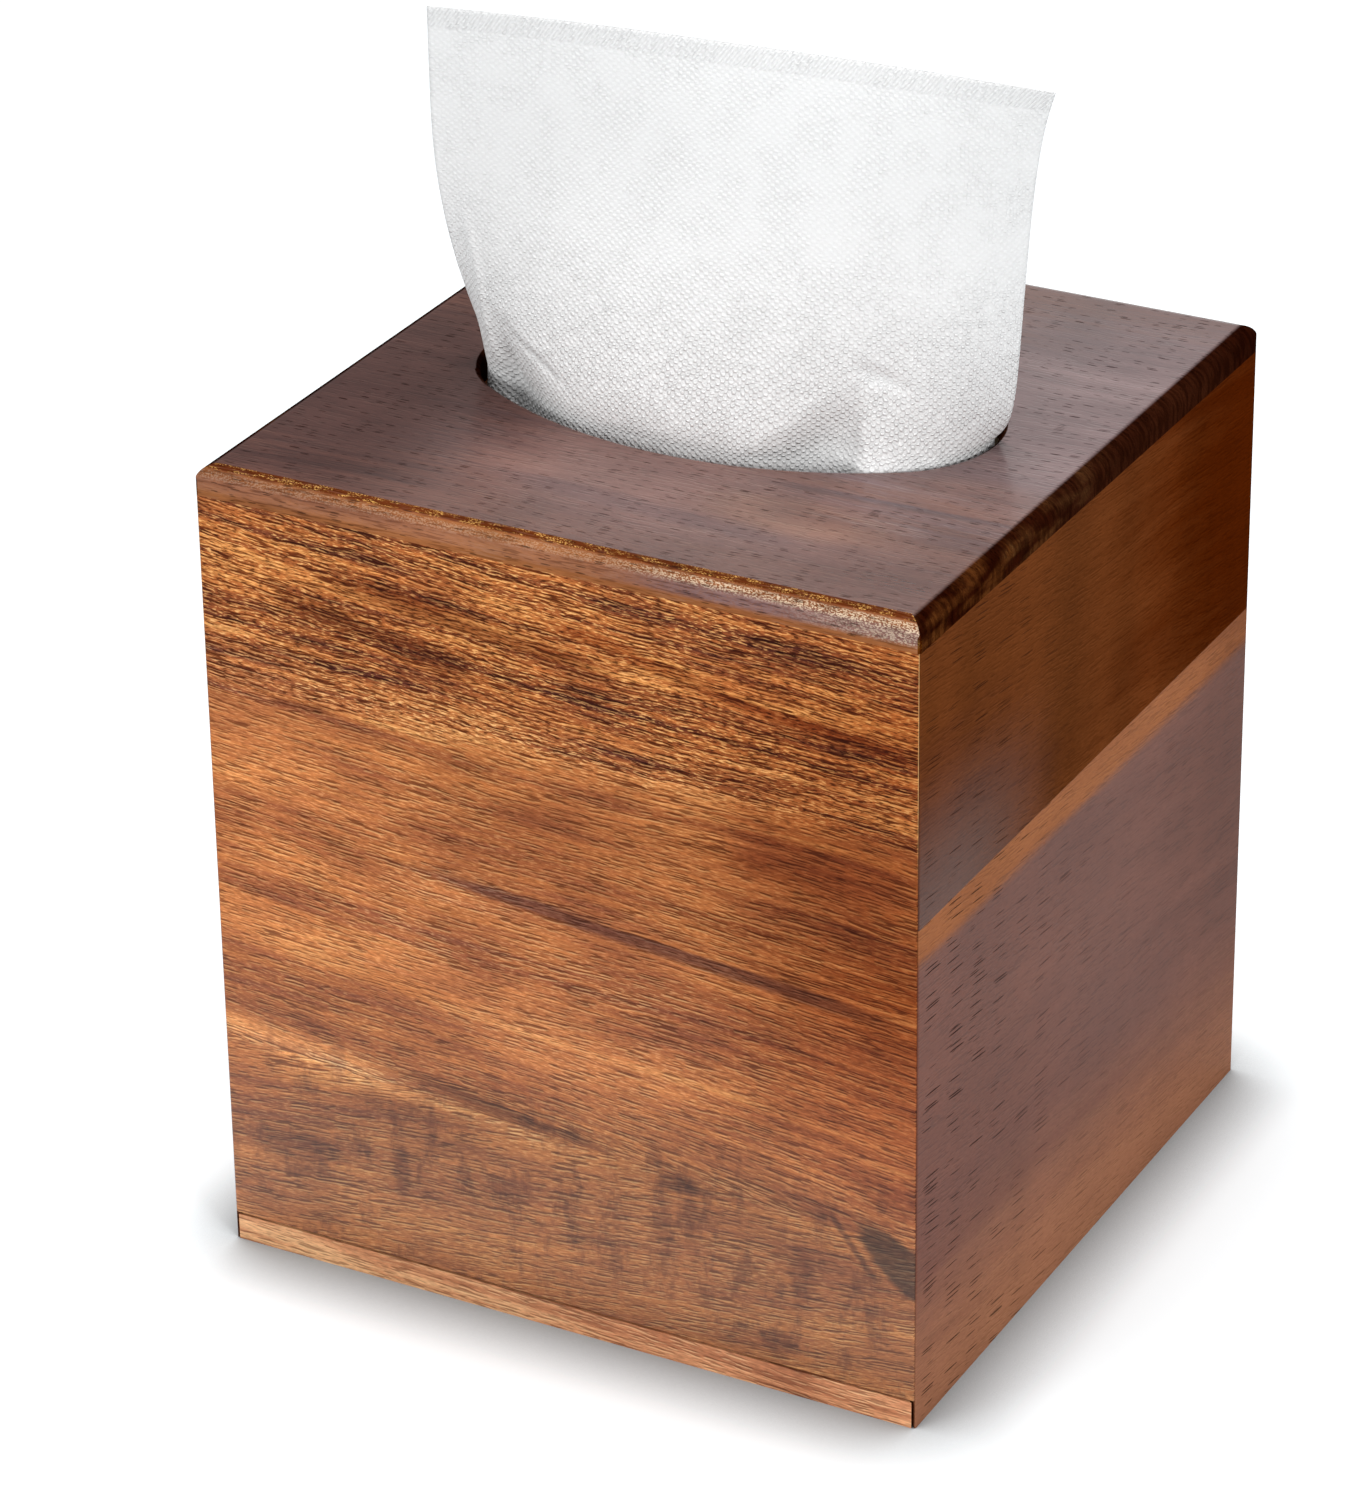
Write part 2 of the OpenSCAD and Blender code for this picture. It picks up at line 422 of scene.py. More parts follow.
@dataclass(frozen=True)
class RoundedEdge:
    """Tints of a panel's rounded front edge, by how far it has turned to the front.

    A line of painted shade, standing in for a missing reflection, runs along its top, with golden specks.
    Below it the edge shows a golden figure. A painted highlight in a pale speckled line and a painted
    grey sheen cover that figure towards the right.
    """

    # painted shade: a darker, redder line along the top of the edge, standing in for a missing reflection
    shade_line_tint: Colour = (0.9, 0.5, 0.18)
    figure_tint: Colour = (2.4, 2.2, 1.1)
    speck: Colour = srgb(222, 170, 92)
    # painted reflection: a grey sheen, and a cream painted highlight above it
    sheen: Colour = srgb(126, 104, 108)
    glint: Colour = srgb(228, 206, 176)
    line_turn: Place = (0.02, 0.1)
    figure_turn: Place = (0.5, 0.62)
    sheen_turn: Place = (0.6, 0.72)
    sheen_x: Place = (8, 30)
    glint_x: Place = (40, 68)
    sheen_foot: Place = (151.2, 152.4)
    sheen_top: Place = (153.9, 154.9)
    glint_foot: Place = (153.6, 154.6)
    left_share: float = 0.2
    right_share: float = 0.5
    fine_scale: Triple = (2.6, 5, 5)
    coarse_scale: float = 0.3
    speck_fine: Place = (0.52, 0.62)
    speck_coarse: Place = (0.4, 0.6)
    speck_share: float = 0.8
    veil_fine: Place = (0.3, 0.6)
    veil: Place = (0.7, 0.4)
    glint_fine: Place = (0.44, 0.6)

    def paint(self, graph: Graph, colour: Signal, axes: list[Signal], turned: Signal) -> Signal:
        """Lays the tints over the panel's own colour, with the painted shade, sheen and highlight.

        Args:
            graph: The material's graph.
            colour: The panel's colour.
            axes: Places in the part, in millimetres.
            turned: How far the edge has turned to the front, from 0 to 1.

        Returns:
            The colour with its edge.
        """
        x, y, z = axes
        figured = turned.rise(*self.figure_turn)
        line = turned.rise(*self.line_turn) * (1 - figured)
        lying = turned.rise(*self.sheen_turn)
        colour = graph.mix(figured, colour, self.figure_tint, "MULTIPLY")
        # painted shade along the top of the edge
        colour = graph.mix(line, colour, self.shade_line_tint, "MULTIPLY")
        steps = self.fine_scale
        fine = graph.noise(graph.vector(x * steps[0], y * steps[1], z * steps[2]), detail=1)
        coarse = graph.noise(graph.vector(x * self.coarse_scale, y, z))
        specks = fine.rise(*self.speck_fine) * coarse.rise(*self.speck_coarse) * self.speck_share
        colour = graph.mix(line * specks, colour, self.speck)
        rightward = x.rise(*self.sheen_x) * self.right_share + self.left_share
        low = z.rise(*self.sheen_foot) * (1 - z.rise(*self.sheen_top))
        veil = fine.rise(*self.veil_fine) * self.veil[1] + self.veil[0]
        # painted reflection: the grey sheen, stronger towards the right
        colour = graph.mix(lying * low * rightward * veil, colour, self.sheen)
        # painted highlight: a pale speckled line and glints towards the right
        high = z.rise(*self.glint_foot) * rightward
        bright = lying * (high + low * x.rise(*self.glint_x) * self.right_share)
        return graph.mix(bright * fine.rise(*self.glint_fine), colour, self.glint)


@dataclass(frozen=True)
class Cells:
    """A noise drawn out along the grain, with cells of a length and a width in millimetres."""

    length: float
    width: float
    shift: float
    detail: float


@dataclass(frozen=True)
class Clouds:
    """A noise in two or three directions, by how fast it changes per millimetre."""

    scale: Triple
    shift: float = 0
    detail: float = 2
    roughness: float = 0.5


@dataclass
class Board:
    """A board's places in its own grain, in millimetres, and the noises that its finish is made of."""

    graph: Graph
    seed: float
    along: Signal
    across: Signal
    through: Signal
    line: Signal = field(init=False)

    def __post_init__(self) -> None:
        """Starts with grain that runs straight."""
        self.line = self.across

    def figure(self, cells: Cells, step: float = 0) -> Signal:
        """Gives a noise that follows the grain.

        Args:
            cells: The noise's cells.
            step: How far it is moved across the grain, in millimetres.

        Returns:
            The noise, round 0.5.
        """
        share = 1 / cells.width
        where = self.graph.vector(self.along * (1 / cells.length), (self.line + step) * share,
                                  self.through * share + (self.seed + cells.shift))
        return self.graph.noise(where, detail=cells.detail)

    def clouds(self, kind: Clouds, first: Signal, second: Signal, third: Value = 0) -> Signal:
        """Gives a noise that does not follow the grain.

        Args:
            kind: The noise.
            first: Place in the first direction, in millimetres.
            second: Place in the second.
            third: Place in the third, if it has one.

        Returns:
            The noise, round 0.5.
        """
        steps = kind.scale
        where = self.graph.vector(first * steps[0], second * steps[1],
                                  third * steps[2] + (self.seed + kind.shift))
        return self.graph.noise(where, detail=kind.detail, roughness=kind.roughness)

    def body(self, kind: Clouds) -> Signal:
        """Gives a noise all through the board."""
        return self.clouds(kind, self.along, self.across, self.through)


@dataclass(frozen=True)
class Pores:
    """Short open pores, drawn out along the grain."""

    amount: float
    length: float = 5
    width: float = 0.9
    fade: Fade = Fade(1, 1)
    colour: Colour = (0.01, 0.005, 0.004)
    chance: Place = (0.25, 1)
    reach: float = 0.36
    edge: float = 0.05
    rough: float = 0.2
    dull: float = 0.8

    def mask(self, board: Board) -> Signal:
        """Gives 1 in a pore and 0 outside.

        Args:
            board: The board's places.

        Returns:
            The mask.
        """
        graph = board.graph
        where = graph.vector(board.along * (1 / self.length), board.line * (1 / self.width),
                             board.through * (1 / self.width) + board.seed)
        near = graph.add("TexVoronoi", {"feature": "F1"}, {"Vector": where, "Scale": 1}, "Distance")
        chance = graph.parts(Signal(graph, near.socket.node.outputs["Color"]))[0]
        size = chance.rise(*self.chance, self.reach)
        return (size - near).rise(0, self.edge) * self.fade.signal(board.along, board.across)


@dataclass(frozen=True)
class Smudges:
    """Dark smudges that drift over the foot of a board."""

    amount: float
    below: Place
    tint: Colour = (0.5, 0.46, 0.55)
    cloud: Clouds = Clouds((0.24, 0.1, 0.1), detail=5, roughness=0.65)
    drift: Clouds = Clouds((0.035, 0.05, 0), 44, 1)
    cloud_rise: Place = (0.48, 0.64)
    drift_rise: Place = (0.36, 0.52)
    frayed: float = 0.1

    def lay(self, board: Board, colour: Signal, rough: Signal) -> Signal:
        """Lays the smudges over the board's colour.

        Args:
            board: The board's places.
            colour: The board's colour.
            rough: A noise round 0 that frays the smudges.

        Returns:
            The colour with its smudges.
        """
        smudge = (board.body(self.cloud) + rough * self.frayed).rise(*self.cloud_rise)
        drift = board.clouds(self.drift, board.along, board.across).rise(*self.drift_rise)
        share = smudge * drift * (1 - board.across.rise(*self.below)) * self.amount
        return board.graph.mix(share, colour, self.tint, "MULTIPLY")


@dataclass(frozen=True)
class EndGrain:
    """Looks of a board where its grain ends: dark, with golden patches and fine lines, and, where asked, a
    painted highlight down a rounded corner.
    """

    turn: Place = (0.4, 0.8)
    tint: Colour = (0.5, 0.45, 0.42)
    patch: Colour = (0.7, 0.62, 0.55)
    fade: Place = (900, 1000)
    coat: float = 0.3
    # painted highlight down the rounded corner, between two heights
    lit_arris: Place = (0, 0)
    lit_arris_share: float = 0.8
    blotch: Clouds = Clouds((0.11, 0.4, 0), detail=3)
    blotch_rise: Place = (0.38, 0.68)
    comb: Clouds = Clouds((0.9, 0.2, 0), 9)
    comb_rise: Place = (0.42, 0.6)
    comb_tint: Colour = (0.42, 0.34, 0.3)
    comb_share: float = 0.7

    def lay(self, board: Board, colour: Signal, end: Signal, gleam: Colour) -> Signal:
        """Lays the end grain over the board's colour.

        Args:
            board: The board's places.
            colour: The board's colour.
            end: How far the surface has turned to the grain's end, from 0 to 1.
            gleam: The colour of the painted highlight on the rounded corner.

        Returns:
            The colour with its end grain.
        """
        graph = board.graph
        blotch = board.clouds(self.blotch, board.across, board.through).rise(*self.blotch_rise)
        comb = board.clouds(self.comb, board.across, board.through).rise(*self.comb_rise)
        tint = graph.mix(blotch * (1 - board.across.rise(*self.fade)), self.tint, self.patch)
        tint = graph.mix(comb * self.comb_share, tint, self.comb_tint, "MULTIPLY")
        colour = graph.mix(end, colour, tint, "MULTIPLY")
        # painted highlight where the rounded corner catches the light
        if self.lit_arris[1]:
            colour = graph.mix(end * board.across.rise(*self.lit_arris) * self.lit_arris_share, colour, gleam)
        return colour


@dataclass
class Figure:
    """The noises that a board's figure is made of, and where its grain is wild or its edge rounded."""

    wild: Value
    edge: Value
    bands: Signal
    streaks: Signal
    cloud: Signal
    grit: Signal
    dashes: Signal
    lit_lips: Signal


@dataclass(frozen=True)
class Wood:
    """Lacquered wood of one board. Lengths are in millimetres, and shares go from 0 to 1."""

    name: str
    grain: Grain
    seed: float
    shades: tuple[Colour, ...]
    # the colour of the painted highlights on the dashes' lips and on a rounded corner, and of pale flecks
    gleam: Colour
    fall: float = 0
    swirl: Swirl | None = None
    waver: float = 3
    band_width: float = 9
    contrast: float = 1
    dash_length: float = 4.5
    dash_width: float = 0.36
    fibre: float = 0.5
    grit: float = 0.4
    shimmer: float = 0.3
    dash_dark: float = 0.5
    # strength of the painted highlight on the lip beside each dark dash
    painted_lip_light: float = 0.4
    shadow: Colour = (0.3, 0.22, 0.2)
    chaos: float = 0.2
    chaos_above: Place | None = None
    smudges: Smudges | None = None
    pores: Pores | None = None
    edge: RoundedEdge | None = None
    end: EndGrain = EndGrain()
    roughness: float = 0.42
    specular: float = 0.03
    coat: Fade = Fade(0.4, 0.4)
    coat_run: Fade = Fade(1, 1)
    marks: tuple[Streak | Patch, ...] = ()
    relief: float = 0.5

    # What all the boards have in common: first the noises, then the figure's lengths and places in them.
    BEND = Clouds((0.012, 0.03, 0.03), detail=1)
    FRAY = Clouds((0.12, 0.2, 0.2), shift=5)
    RIBBONS = Clouds((0.05, 0.006, 0.02), shift=63)
    CLOUD = Cells(22, 10, shift=51, detail=3)
    FIBRES = Cells(9, 0.8, shift=91, detail=4)
    GRIT = Cells(1.7, 0.3, shift=71, detail=2)
    BAND_LENGTH = 140
    BAND_SHIFT = 3
    STREAK_LENGTH = 50
    STREAK_SHIFT = 11
    STREAKS_PER_BAND = 4
    DASH_SHIFT = 37
    # how far the painted highlight on each lip lies from its dark dash, in millimetres
    LIP_STEP = 0.3
    CHAOS_FRAY = 6
    SWIRL_FRAY = 2.5
    SWIRL_JUMP = 17.3
    EDGE_Y = (-66, -64)
    # Where along its noise each sort of mark starts and ends.
    BUSY_EDGE = (0.3, 0.65)
    DASH_EDGE = (0.37, 0.46)
    LIP_EDGE = (0.36, 0.44)
    PIT_EDGE = (0.36, 0.44)
    FLECK_EDGE = (0.55, 0.64)
    # Shares, and what wild grain or a rounded edge adds to them.
    BAND_SHARE = 1.4
    STREAK_SHARE = 1.2
    RAMP_START = 0.12
    RAMP_RUN = 0.76
    BUSY_LEAST = 0.4
    FLECKS = 0.2
    WILD_FLECKS = 0.6
    WILD_DASHES = 0.4
    WILD_CONTRAST = 0.5
    WILD_GRIT = 1.2
    WILD_CHAOS = 4
    EDGE_DASHES = 0.5
    FRAYED_STREAKS = 1.4
    FRAYED_DASHES = 0.6
    DASH_ROUGH = 0.16
    COAT_ROUGHNESS = 0.25
    BUMP_DEPTH = 0.00006

    def run_grain(self, board: Board, fray: Signal, wild: Value) -> None:
        """Bends the board's grain, with its fall, its swirl and its fraying.

        Args:
            board: The board's places.
            fray: A noise round 0.
            wild: How wild the grain is, from 0 to 1.
        """
        along, across = board.along, board.across
        line = across + along * self.fall + board.body(self.BEND).swing() * (2 * self.waver)
        if self.swirl:
            below = self.swirl.below(along, across + fray * self.SWIRL_FRAY)
            line = line + below * (along * (self.swirl.fall - self.fall) + self.SWIRL_JUMP)
        board.line = line + fray * (self.chaos + wild * (self.WILD_CHAOS * self.chaos))

    def figure(self, board: Board, edge: Value) -> Figure:
        """Draws the board's figure along its grain.

        Args:
            board: The board's places.
            edge: How far the surface has turned to the front edge, where that edge is rounded.

        Returns:
            The figure.
        """
        fray = board.body(self.FRAY).swing()
        wild: Value = 0
        if self.chaos_above:
            wild = (board.across + fray * self.CHAOS_FRAY).rise(*self.chaos_above)
        self.run_grain(board, fray, wild)
        narrow = self.band_width / self.STREAKS_PER_BAND
        dashes = Cells(self.dash_length, self.dash_width, self.DASH_SHIFT, detail=1)
        return Figure(
            wild=wild,
            edge=edge,
            bands=board.figure(Cells(self.BAND_LENGTH, self.band_width, self.BAND_SHIFT, detail=2)).swing(),
            streaks=board.figure(Cells(self.STREAK_LENGTH, narrow, self.STREAK_SHIFT, detail=3)).swing(),
            cloud=board.figure(self.CLOUD),
            grit=board.figure(self.GRIT),
            dashes=board.figure(dashes),
            lit_lips=board.figure(dashes, self.LIP_STEP))

    def ground(self, graph: Graph, figure: Figure) -> Signal:
        """Gives the board's plain colour, from its bands and streaks.

        Args:
            graph: The material's graph.
            figure: The board's figure.

        Returns:
            The colour.
        """
        wild = figure.wild
        spread = self.contrast * (1 + wild * self.WILD_CONTRAST)
        tone = (figure.bands * self.BAND_SHARE + figure.streaks * (self.STREAK_SHARE + wild)
                + figure.cloud.swing())
        stops = [(self.RAMP_START + self.RAMP_RUN * i / (len(self.shades) - 1), shade)
                 for i, shade in enumerate(self.shades)]
        return graph.add("ValToRGB", {"stops": stops}, {"Fac": 0.5 + tone * spread})

    def fibres(self, board: Board, figure: Figure, colour: Signal) -> Signal:
        """Shades the colour with fibres, grit and ribbons.

        Args:
            board: The board's places.
            figure: The board's figure.
            colour: The board's colour.

        Returns:
            The shaded colour.
        """
        shade = (1 + board.figure(self.FIBRES).swing() * self.fibre
                 + figure.grit.swing() * (figure.wild * self.WILD_GRIT + self.grit)
                 + board.body(self.RIBBONS).swing() * self.shimmer)
        return board.graph.mix(1, colour, board.graph.vector(shade, shade, shade), "MULTIPLY")

    def flecks(self, graph: Graph, figure: Figure, colour: Signal) -> Signal:
        """Lays short dark dashes over the colour, each with a painted highlight on a lip beside it, and
        flecks where the grain is wild.

        Args:
            graph: The material's graph.
            figure: The board's figure.
            colour: The board's colour.

        Returns:
            The colour with its dashes.
        """
        busy = figure.cloud.rise(*self.BUSY_EDGE) * (1 - self.BUSY_LEAST) + self.BUSY_LEAST
        strong = figure.edge * self.EDGE_DASHES + figure.wild * self.WILD_DASHES + 1
        sunk = (1 - figure.dashes.rise(*self.DASH_EDGE)) * strong * self.dash_dark
        # painted highlight: a pale lip beside each dark dash, as if its edge caught the light
        light = (1 - figure.lit_lips.rise(*self.LIP_EDGE)) * strong * self.painted_lip_light
        if self.chaos_above:
            fleck = figure.wild * self.WILD_FLECKS + self.FLECKS
            sunk = graph.math("MAXIMUM", sunk, (1 - figure.grit.rise(*self.PIT_EDGE)) * fleck)
            light = graph.math("MAXIMUM", light, figure.grit.rise(*self.FLECK_EDGE) * fleck)
        colour = graph.mix(light * busy * (1 - sunk), colour, self.gleam)
        return graph.mix(sunk, colour, self.shadow, "MULTIPLY")

    def material(self) -> bpy.types.Material:
        """Builds the board's material.

        Returns:
            The material, with its pattern in object coordinates.
        """
        graph = Graph(bpy.data.materials.new(self.name))
        axes = [part * (1 / MM) for part in graph.parts(graph.add("TexCoord", output="Object"))]
        turned = graph.parts(graph.add("TexCoord", output="Normal"))
        board = Board(graph, self.seed, *(axes[i] for i in self.grain.value))
        edge: Value = turned[1] * (axes[1].rise(*self.EDGE_Y) - 1) if self.edge else 0
        figure = self.figure(board, edge)
        colour = self.ground(graph, figure)
        if self.edge:
            colour = self.edge.paint(graph, colour, axes, edge)
        colour = self.flecks(graph, figure, self.fibres(board, figure, colour))

        end = abs(turned[self.grain.value[0]]).rise(*self.end.turn)
        gloss: Value = 1 - end * (1 - self.end.coat)
        frayed = figure.streaks * self.FRAYED_STREAKS + figure.dashes.swing() * self.FRAYED_DASHES
        if self.smudges:
            colour = self.smudges.lay(board, colour, frayed)
        for mark in self.marks:
            share = mark.mask(board.along, board.across, frayed)
            colour = graph.mix(share, colour, mark.tint, "MULTIPLY")
            if mark.dull:
                gloss = gloss * (1 - share * mark.dull)
        height = figure.dashes
        rough = self.roughness - figure.dashes.swing() * self.DASH_ROUGH
        if self.pores:
            pores = self.pores.mask(board)
            colour = graph.mix(pores * self.pores.amount, colour, self.pores.colour)
            height = height - pores
            rough = rough + pores * self.pores.rough
            gloss = gloss * (1 - pores * self.pores.dull)
        if self.edge:
            gloss = gloss * (1 - edge.rise(*self.edge.line_turn))
        coat = self.coat.signal(board.along, board.across) * self.coat_run.signal(board.along, board.across)
        normal = graph.add("Bump", inputs={
            "Strength": self.relief, "Distance": self.BUMP_DEPTH, "Height": height})
        return graph.finish(
            Base_Color=self.end.lay(board, colour, end, self.gleam), Roughness=rough,
            Specular_IOR_Level=self.specular, Coat_Weight=gloss * coat,
            Coat_Roughness=self.COAT_ROUGHNESS, Normal=normal)


@dataclass(frozen=True)
class CartonBoard:
    """Plain uncoated board of the carton, softly mottled, with short fibres in all directions."""

    name: str = "carton_board"
    colour: Colour = srgb(206, 188, 160)
    speck: Colour = srgb(150, 128, 100)
    shade: Colour = grey(0.75)
    fibre_scale: float = 1800
    fibre_curl: float = 2
    fibre_rise: Place = (0.52, 0.75)
    fibre_share: float = 0.4
    cloud_scale: float = 60
    cloud_rise: Place = (0.35, 0.7)
    cloud_share: float = 0.3
    relief: float = 0.3
    depth: float = 0.00005
    roughness: float = 0.9
    specular: float = 0.25

    def material(self) -> bpy.types.Material:
        """Builds the board's material.

        Returns:
            The material, with its pattern in object coordinates.
        """
        graph = Graph(bpy.data.materials.new(self.name))
        place = graph.add("TexCoord", output="Object")
        fibres = graph.noise(place, scale=self.fibre_scale, detail=3, distortion=self.fibre_curl)
        clouds = graph.noise(place, scale=self.cloud_scale).rise(*self.cloud_rise)
        colour = graph.mix(fibres.rise(*self.fibre_rise) * self.fibre_share, self.colour, self.speck)
        colour = graph.mix(clouds * self.cloud_share, colour, self.shade, "MULTIPLY")
        normal = graph.add("Bump", inputs={"Strength": self.relief, "Distance": self.depth, "Height": fibres})
        return graph.finish(Base_Color=colour, Roughness=self.roughness, Specular_IOR_Level=self.specular,
                            Normal=normal)


@dataclass(frozen=True)
class TissuePaper:
    """Soft white tissue with rows of embossed dots, crepe and a ribbed hem, with painted shade between the
    dots and painted light lower down.

    Lengths are in millimetres, read from the UV map. A scale says how fast a noise changes in them.
    """

    name: str
    colour: Colour = grey(0.8)
    pitch: float = 0.8
    row: float = 0.6
    dot_rise: Place = (-0.3, 0.9)
    # painted shade and highlight: the dots paler and the hollows between them darker
    dot_middle: float = 0.35
    painted_dot_shading: float = 0.2
    wander: float = 1.2
    wander_scale: float = 0.35
    pressed: float = 0.2
    pressed_low: float = 0.9
    pressed_from: Place = (30, 62)
    worn: float = 0.3
    worn_scale: float = 0.12
    worn_rise: Place = (0.38, 0.62)
    uneven: float = 2
    uneven_scale: float = 0.7
    crepe: float = 0.3
    crepe_scale: Place = (0.9, 2.6)
    crepe_rise: Place = (0.4, 0.7)
    crepe_dark: float = 0.03
    fuzz: float = 0.15
    fuzz_scale: float = 5
    hem: float = 0.5
    hem_edge: Place = (3.4, 4)
    rib: float = 0.8
    rib_slant: float = 0.7
    # painted light: paler further down the sheet, to lift the shade there
    pale: float = 0.12
    pale_from: Place = (12, 60)
    relief: float = 0.8
    depth: float = 0.00035
    roughness: float = 0.95
    specular: float = 0.1

    def material(self) -> bpy.types.Material:
        """Builds the tissue's material from the sheet's own flat coordinates.

        Returns:
            The material.
        """
        graph = Graph(bpy.data.materials.new(self.name))
        across, down, _ = (part * FLAT_MM for part in graph.parts(graph.add("TexCoord", output="UV")))
        flat = graph.vector(across, down, 0)

        drift = graph.noise(flat, scale=self.wander_scale).swing() * self.wander
        dots = (graph.math("SINE", (across + drift) * (math.pi / self.pitch))
                * graph.math("SINE", (down + drift) * (math.pi / self.row))).rise(*self.dot_rise)
        worn = graph.noise(flat, scale=self.worn_scale).rise(*self.worn_rise)
        uneven = graph.noise(flat, scale=self.uneven_scale, detail=1) * self.uneven
        pressed = (self.pressed + down.rise(*self.pressed_from) * self.pressed_low
                   + worn * self.worn) * uneven

        wide, high = self.crepe_scale
        crepe = graph.noise(graph.vector(across * wide, down * high, 0), detail=3, roughness=0.6)
        fuzz = graph.noise(flat, scale=self.fuzz_scale)
        ribs = abs(graph.math("SINE", (across + down * self.rib_slant) * (math.pi / self.rib)))
        hem = (1 - down.rise(*self.hem_edge)) * ribs
        height = dots * pressed + crepe * self.crepe + fuzz * self.fuzz + hem * self.hem
        normal = graph.add("Bump", inputs={"Strength": self.relief, "Distance": self.depth, "Height": height})

        # painted light and shade: paler further down the sheet, and the dots paler than the hollows between
        # them
        level = (1 + down.rise(*self.pale_from) * self.pale
                 + (dots - self.dot_middle) * pressed * self.painted_dot_shading
                 - crepe.rise(*self.crepe_rise) * self.crepe_dark)
        colour = graph.mix(1, self.colour, graph.vector(level, level, level), "MULTIPLY")
        return graph.finish(Base_Color=colour, Roughness=self.roughness, Specular_IOR_Level=self.specular,
                            Normal=normal)


class Bench:
    """Modelling moves that the pieces share."""

    @staticmethod
    def deselect() -> None:
        """Leaves object mode with nothing selected."""
        if bpy.context.object and bpy.context.object.mode != "OBJECT":
            bpy.ops.object.mode_set(mode="OBJECT")
        bpy.ops.object.select_all(action="DESELECT")

    @staticmethod
    def choose(*pieces: bpy.types.Object) -> None:
        """Selects some pieces and nothing else, with the first one active.

        Args:
            *pieces: The pieces.
        """
        Bench.deselect()
        for piece in pieces:
            piece.select_set(True)
        bpy.context.view_layer.objects.active = pieces[0]

    @staticmethod
    def take(name: str) -> bpy.types.Object:
        """Names the object that was just added and puts its place into its mesh.

        Args:
            name: The piece's name.

        Returns:
            The piece.
        """
        piece = bpy.context.object
        piece.name = name
        piece.data.name = name
        bpy.ops.object.transform_apply(location=True, rotation=True, scale=True)
        return piece

    @staticmethod
    def block(name: str, low: Vector, high: Vector) -> bpy.types.Object:
        """Adds a block between two corners.

        Args:
            name: The piece's name.
            low: Lowest corner.
            high: Highest corner.

        Returns:
            The block.
        """
        Bench.deselect()
        bpy.ops.mesh.primitive_cube_add(size=1, location=(low + high) / 2, scale=high - low)
        return Bench.take(name)

    @staticmethod
    @contextmanager
    def editing(piece: bpy.types.Object) -> Iterator[bmesh.types.BMesh]:
        """Opens a piece in edit mode with nothing selected, and closes it again.

        Args:
            piece: The piece.

        Yields:
            Its mesh, as it is edited.
        """
        Bench.choose(piece)
        bpy.ops.object.mode_set(mode="EDIT")
        bpy.ops.mesh.select_all(action="DESELECT")
        yield bmesh.from_edit_mesh(piece.data)
        bpy.ops.object.mode_set(mode="OBJECT")

    @staticmethod
    def pick_edges(mesh: bmesh.types.BMesh, piece: bpy.types.Object,
                   wanted: Callable[[bmesh.types.BMEdge], bool]) -> None:
        """Selects the edges that a test names.

        Args:
            mesh: The mesh, as it is edited.
            piece: The piece that it belongs to.
            wanted: The test.
        """
        for edge in mesh.edges:
            if wanted(edge):
                edge.select_set(True)
        bmesh.update_edit_mesh(piece.data)

    @staticmethod
    def modify(piece: bpy.types.Object, kind: str, **settings: object) -> None:
        """Adds a modifier and applies it.

        Args:
            piece: The piece.
            kind: The modifier's type.
            **settings: The modifier's own settings.
        """
        Bench.choose(piece)
        modifier = piece.modifiers.new(kind.title(), kind)
        for name, value in settings.items():
            setattr(modifier, name, value)
        bpy.ops.object.modifier_apply(modifier=modifier.name)

    @staticmethod
    def smooth(piece: bpy.types.Object, degrees: float = 180) -> None:
        """Shades a piece smooth up to an angle."""
        Bench.choose(piece)
        bpy.ops.object.shade_smooth_by_angle(angle=math.radians(degrees))

    @staticmethod
    def join(pieces: list[bpy.types.Object]) -> bpy.types.Object:
        """Joins pieces into the first one.

        Args:
            pieces: The pieces.

        Returns:
            The first piece, with all the others in it.
        """
        Bench.choose(*pieces)
        bpy.ops.object.join()
        return pieces[0]


def dress(piece: bpy.types.Object, material: bpy.types.Material) -> None:
    """Gives a piece one material in all its slots.

    Args:
        piece: The piece.
        material: The material.
    """
    if not piece.material_slots:
        piece.data.materials.append(material)
    for slot in piece.material_slots:
        slot.material = material


TOP_PANEL = Wood(
    "wood_top", Grain.WIDTH_ON_FLAT, seed=4.1,
    shades=(srgb(74, 43, 36), srgb(90, 55, 46), srgb(104, 67, 56), srgb(121, 81, 68)),
    band_width=10, contrast=0.5, waver=4, fibre=0.3, grit=0.5, shimmer=0.8, dash_dark=0.32,
    painted_lip_light=0.12, gleam=srgb(170, 132, 112), pores=Pores(0.6, 3.4, 0.42), roughness=0.45,
    specular=0, coat=Fade(0.25, 1, -52, 0, across=False),
    edge=RoundedEdge(),
    end=EndGrain(turn=(0.1, 0.34), tint=(0.18, 0.075, 0.03), patch=(0.78, 0.6, 0.2), fade=(-62, 20), coat=0),
    marks=(
        # painted shade: the left of the top darker, standing in for a darker reflection
        Patch((-56, -22), (44, 62), (0.5, 0.5, 0.58)),
        # painted sheen: the middle paler and greyer
        Patch((10, -40), (60, 28), (1.38, 1.62, 1.85)),
        Patch((34, -42), (26, 9), (1.2, 1.15, 0.95)),
        # painted sheen: a bluish-grey veil over the right and the back
        Patch((62, 18), (60, 66), (1.27, 1.85, 2.6)),
        Streak((-20, -48), (40, -53), 4, (0.8, 0.8, 0.88), 6),
        Streak((20, -31), (70, -29), 1.6, (0.66, 0.68, 0.76), 2),
        Patch((56, -22), (20, 10), (1.25, 1.15, 1)),
    ))

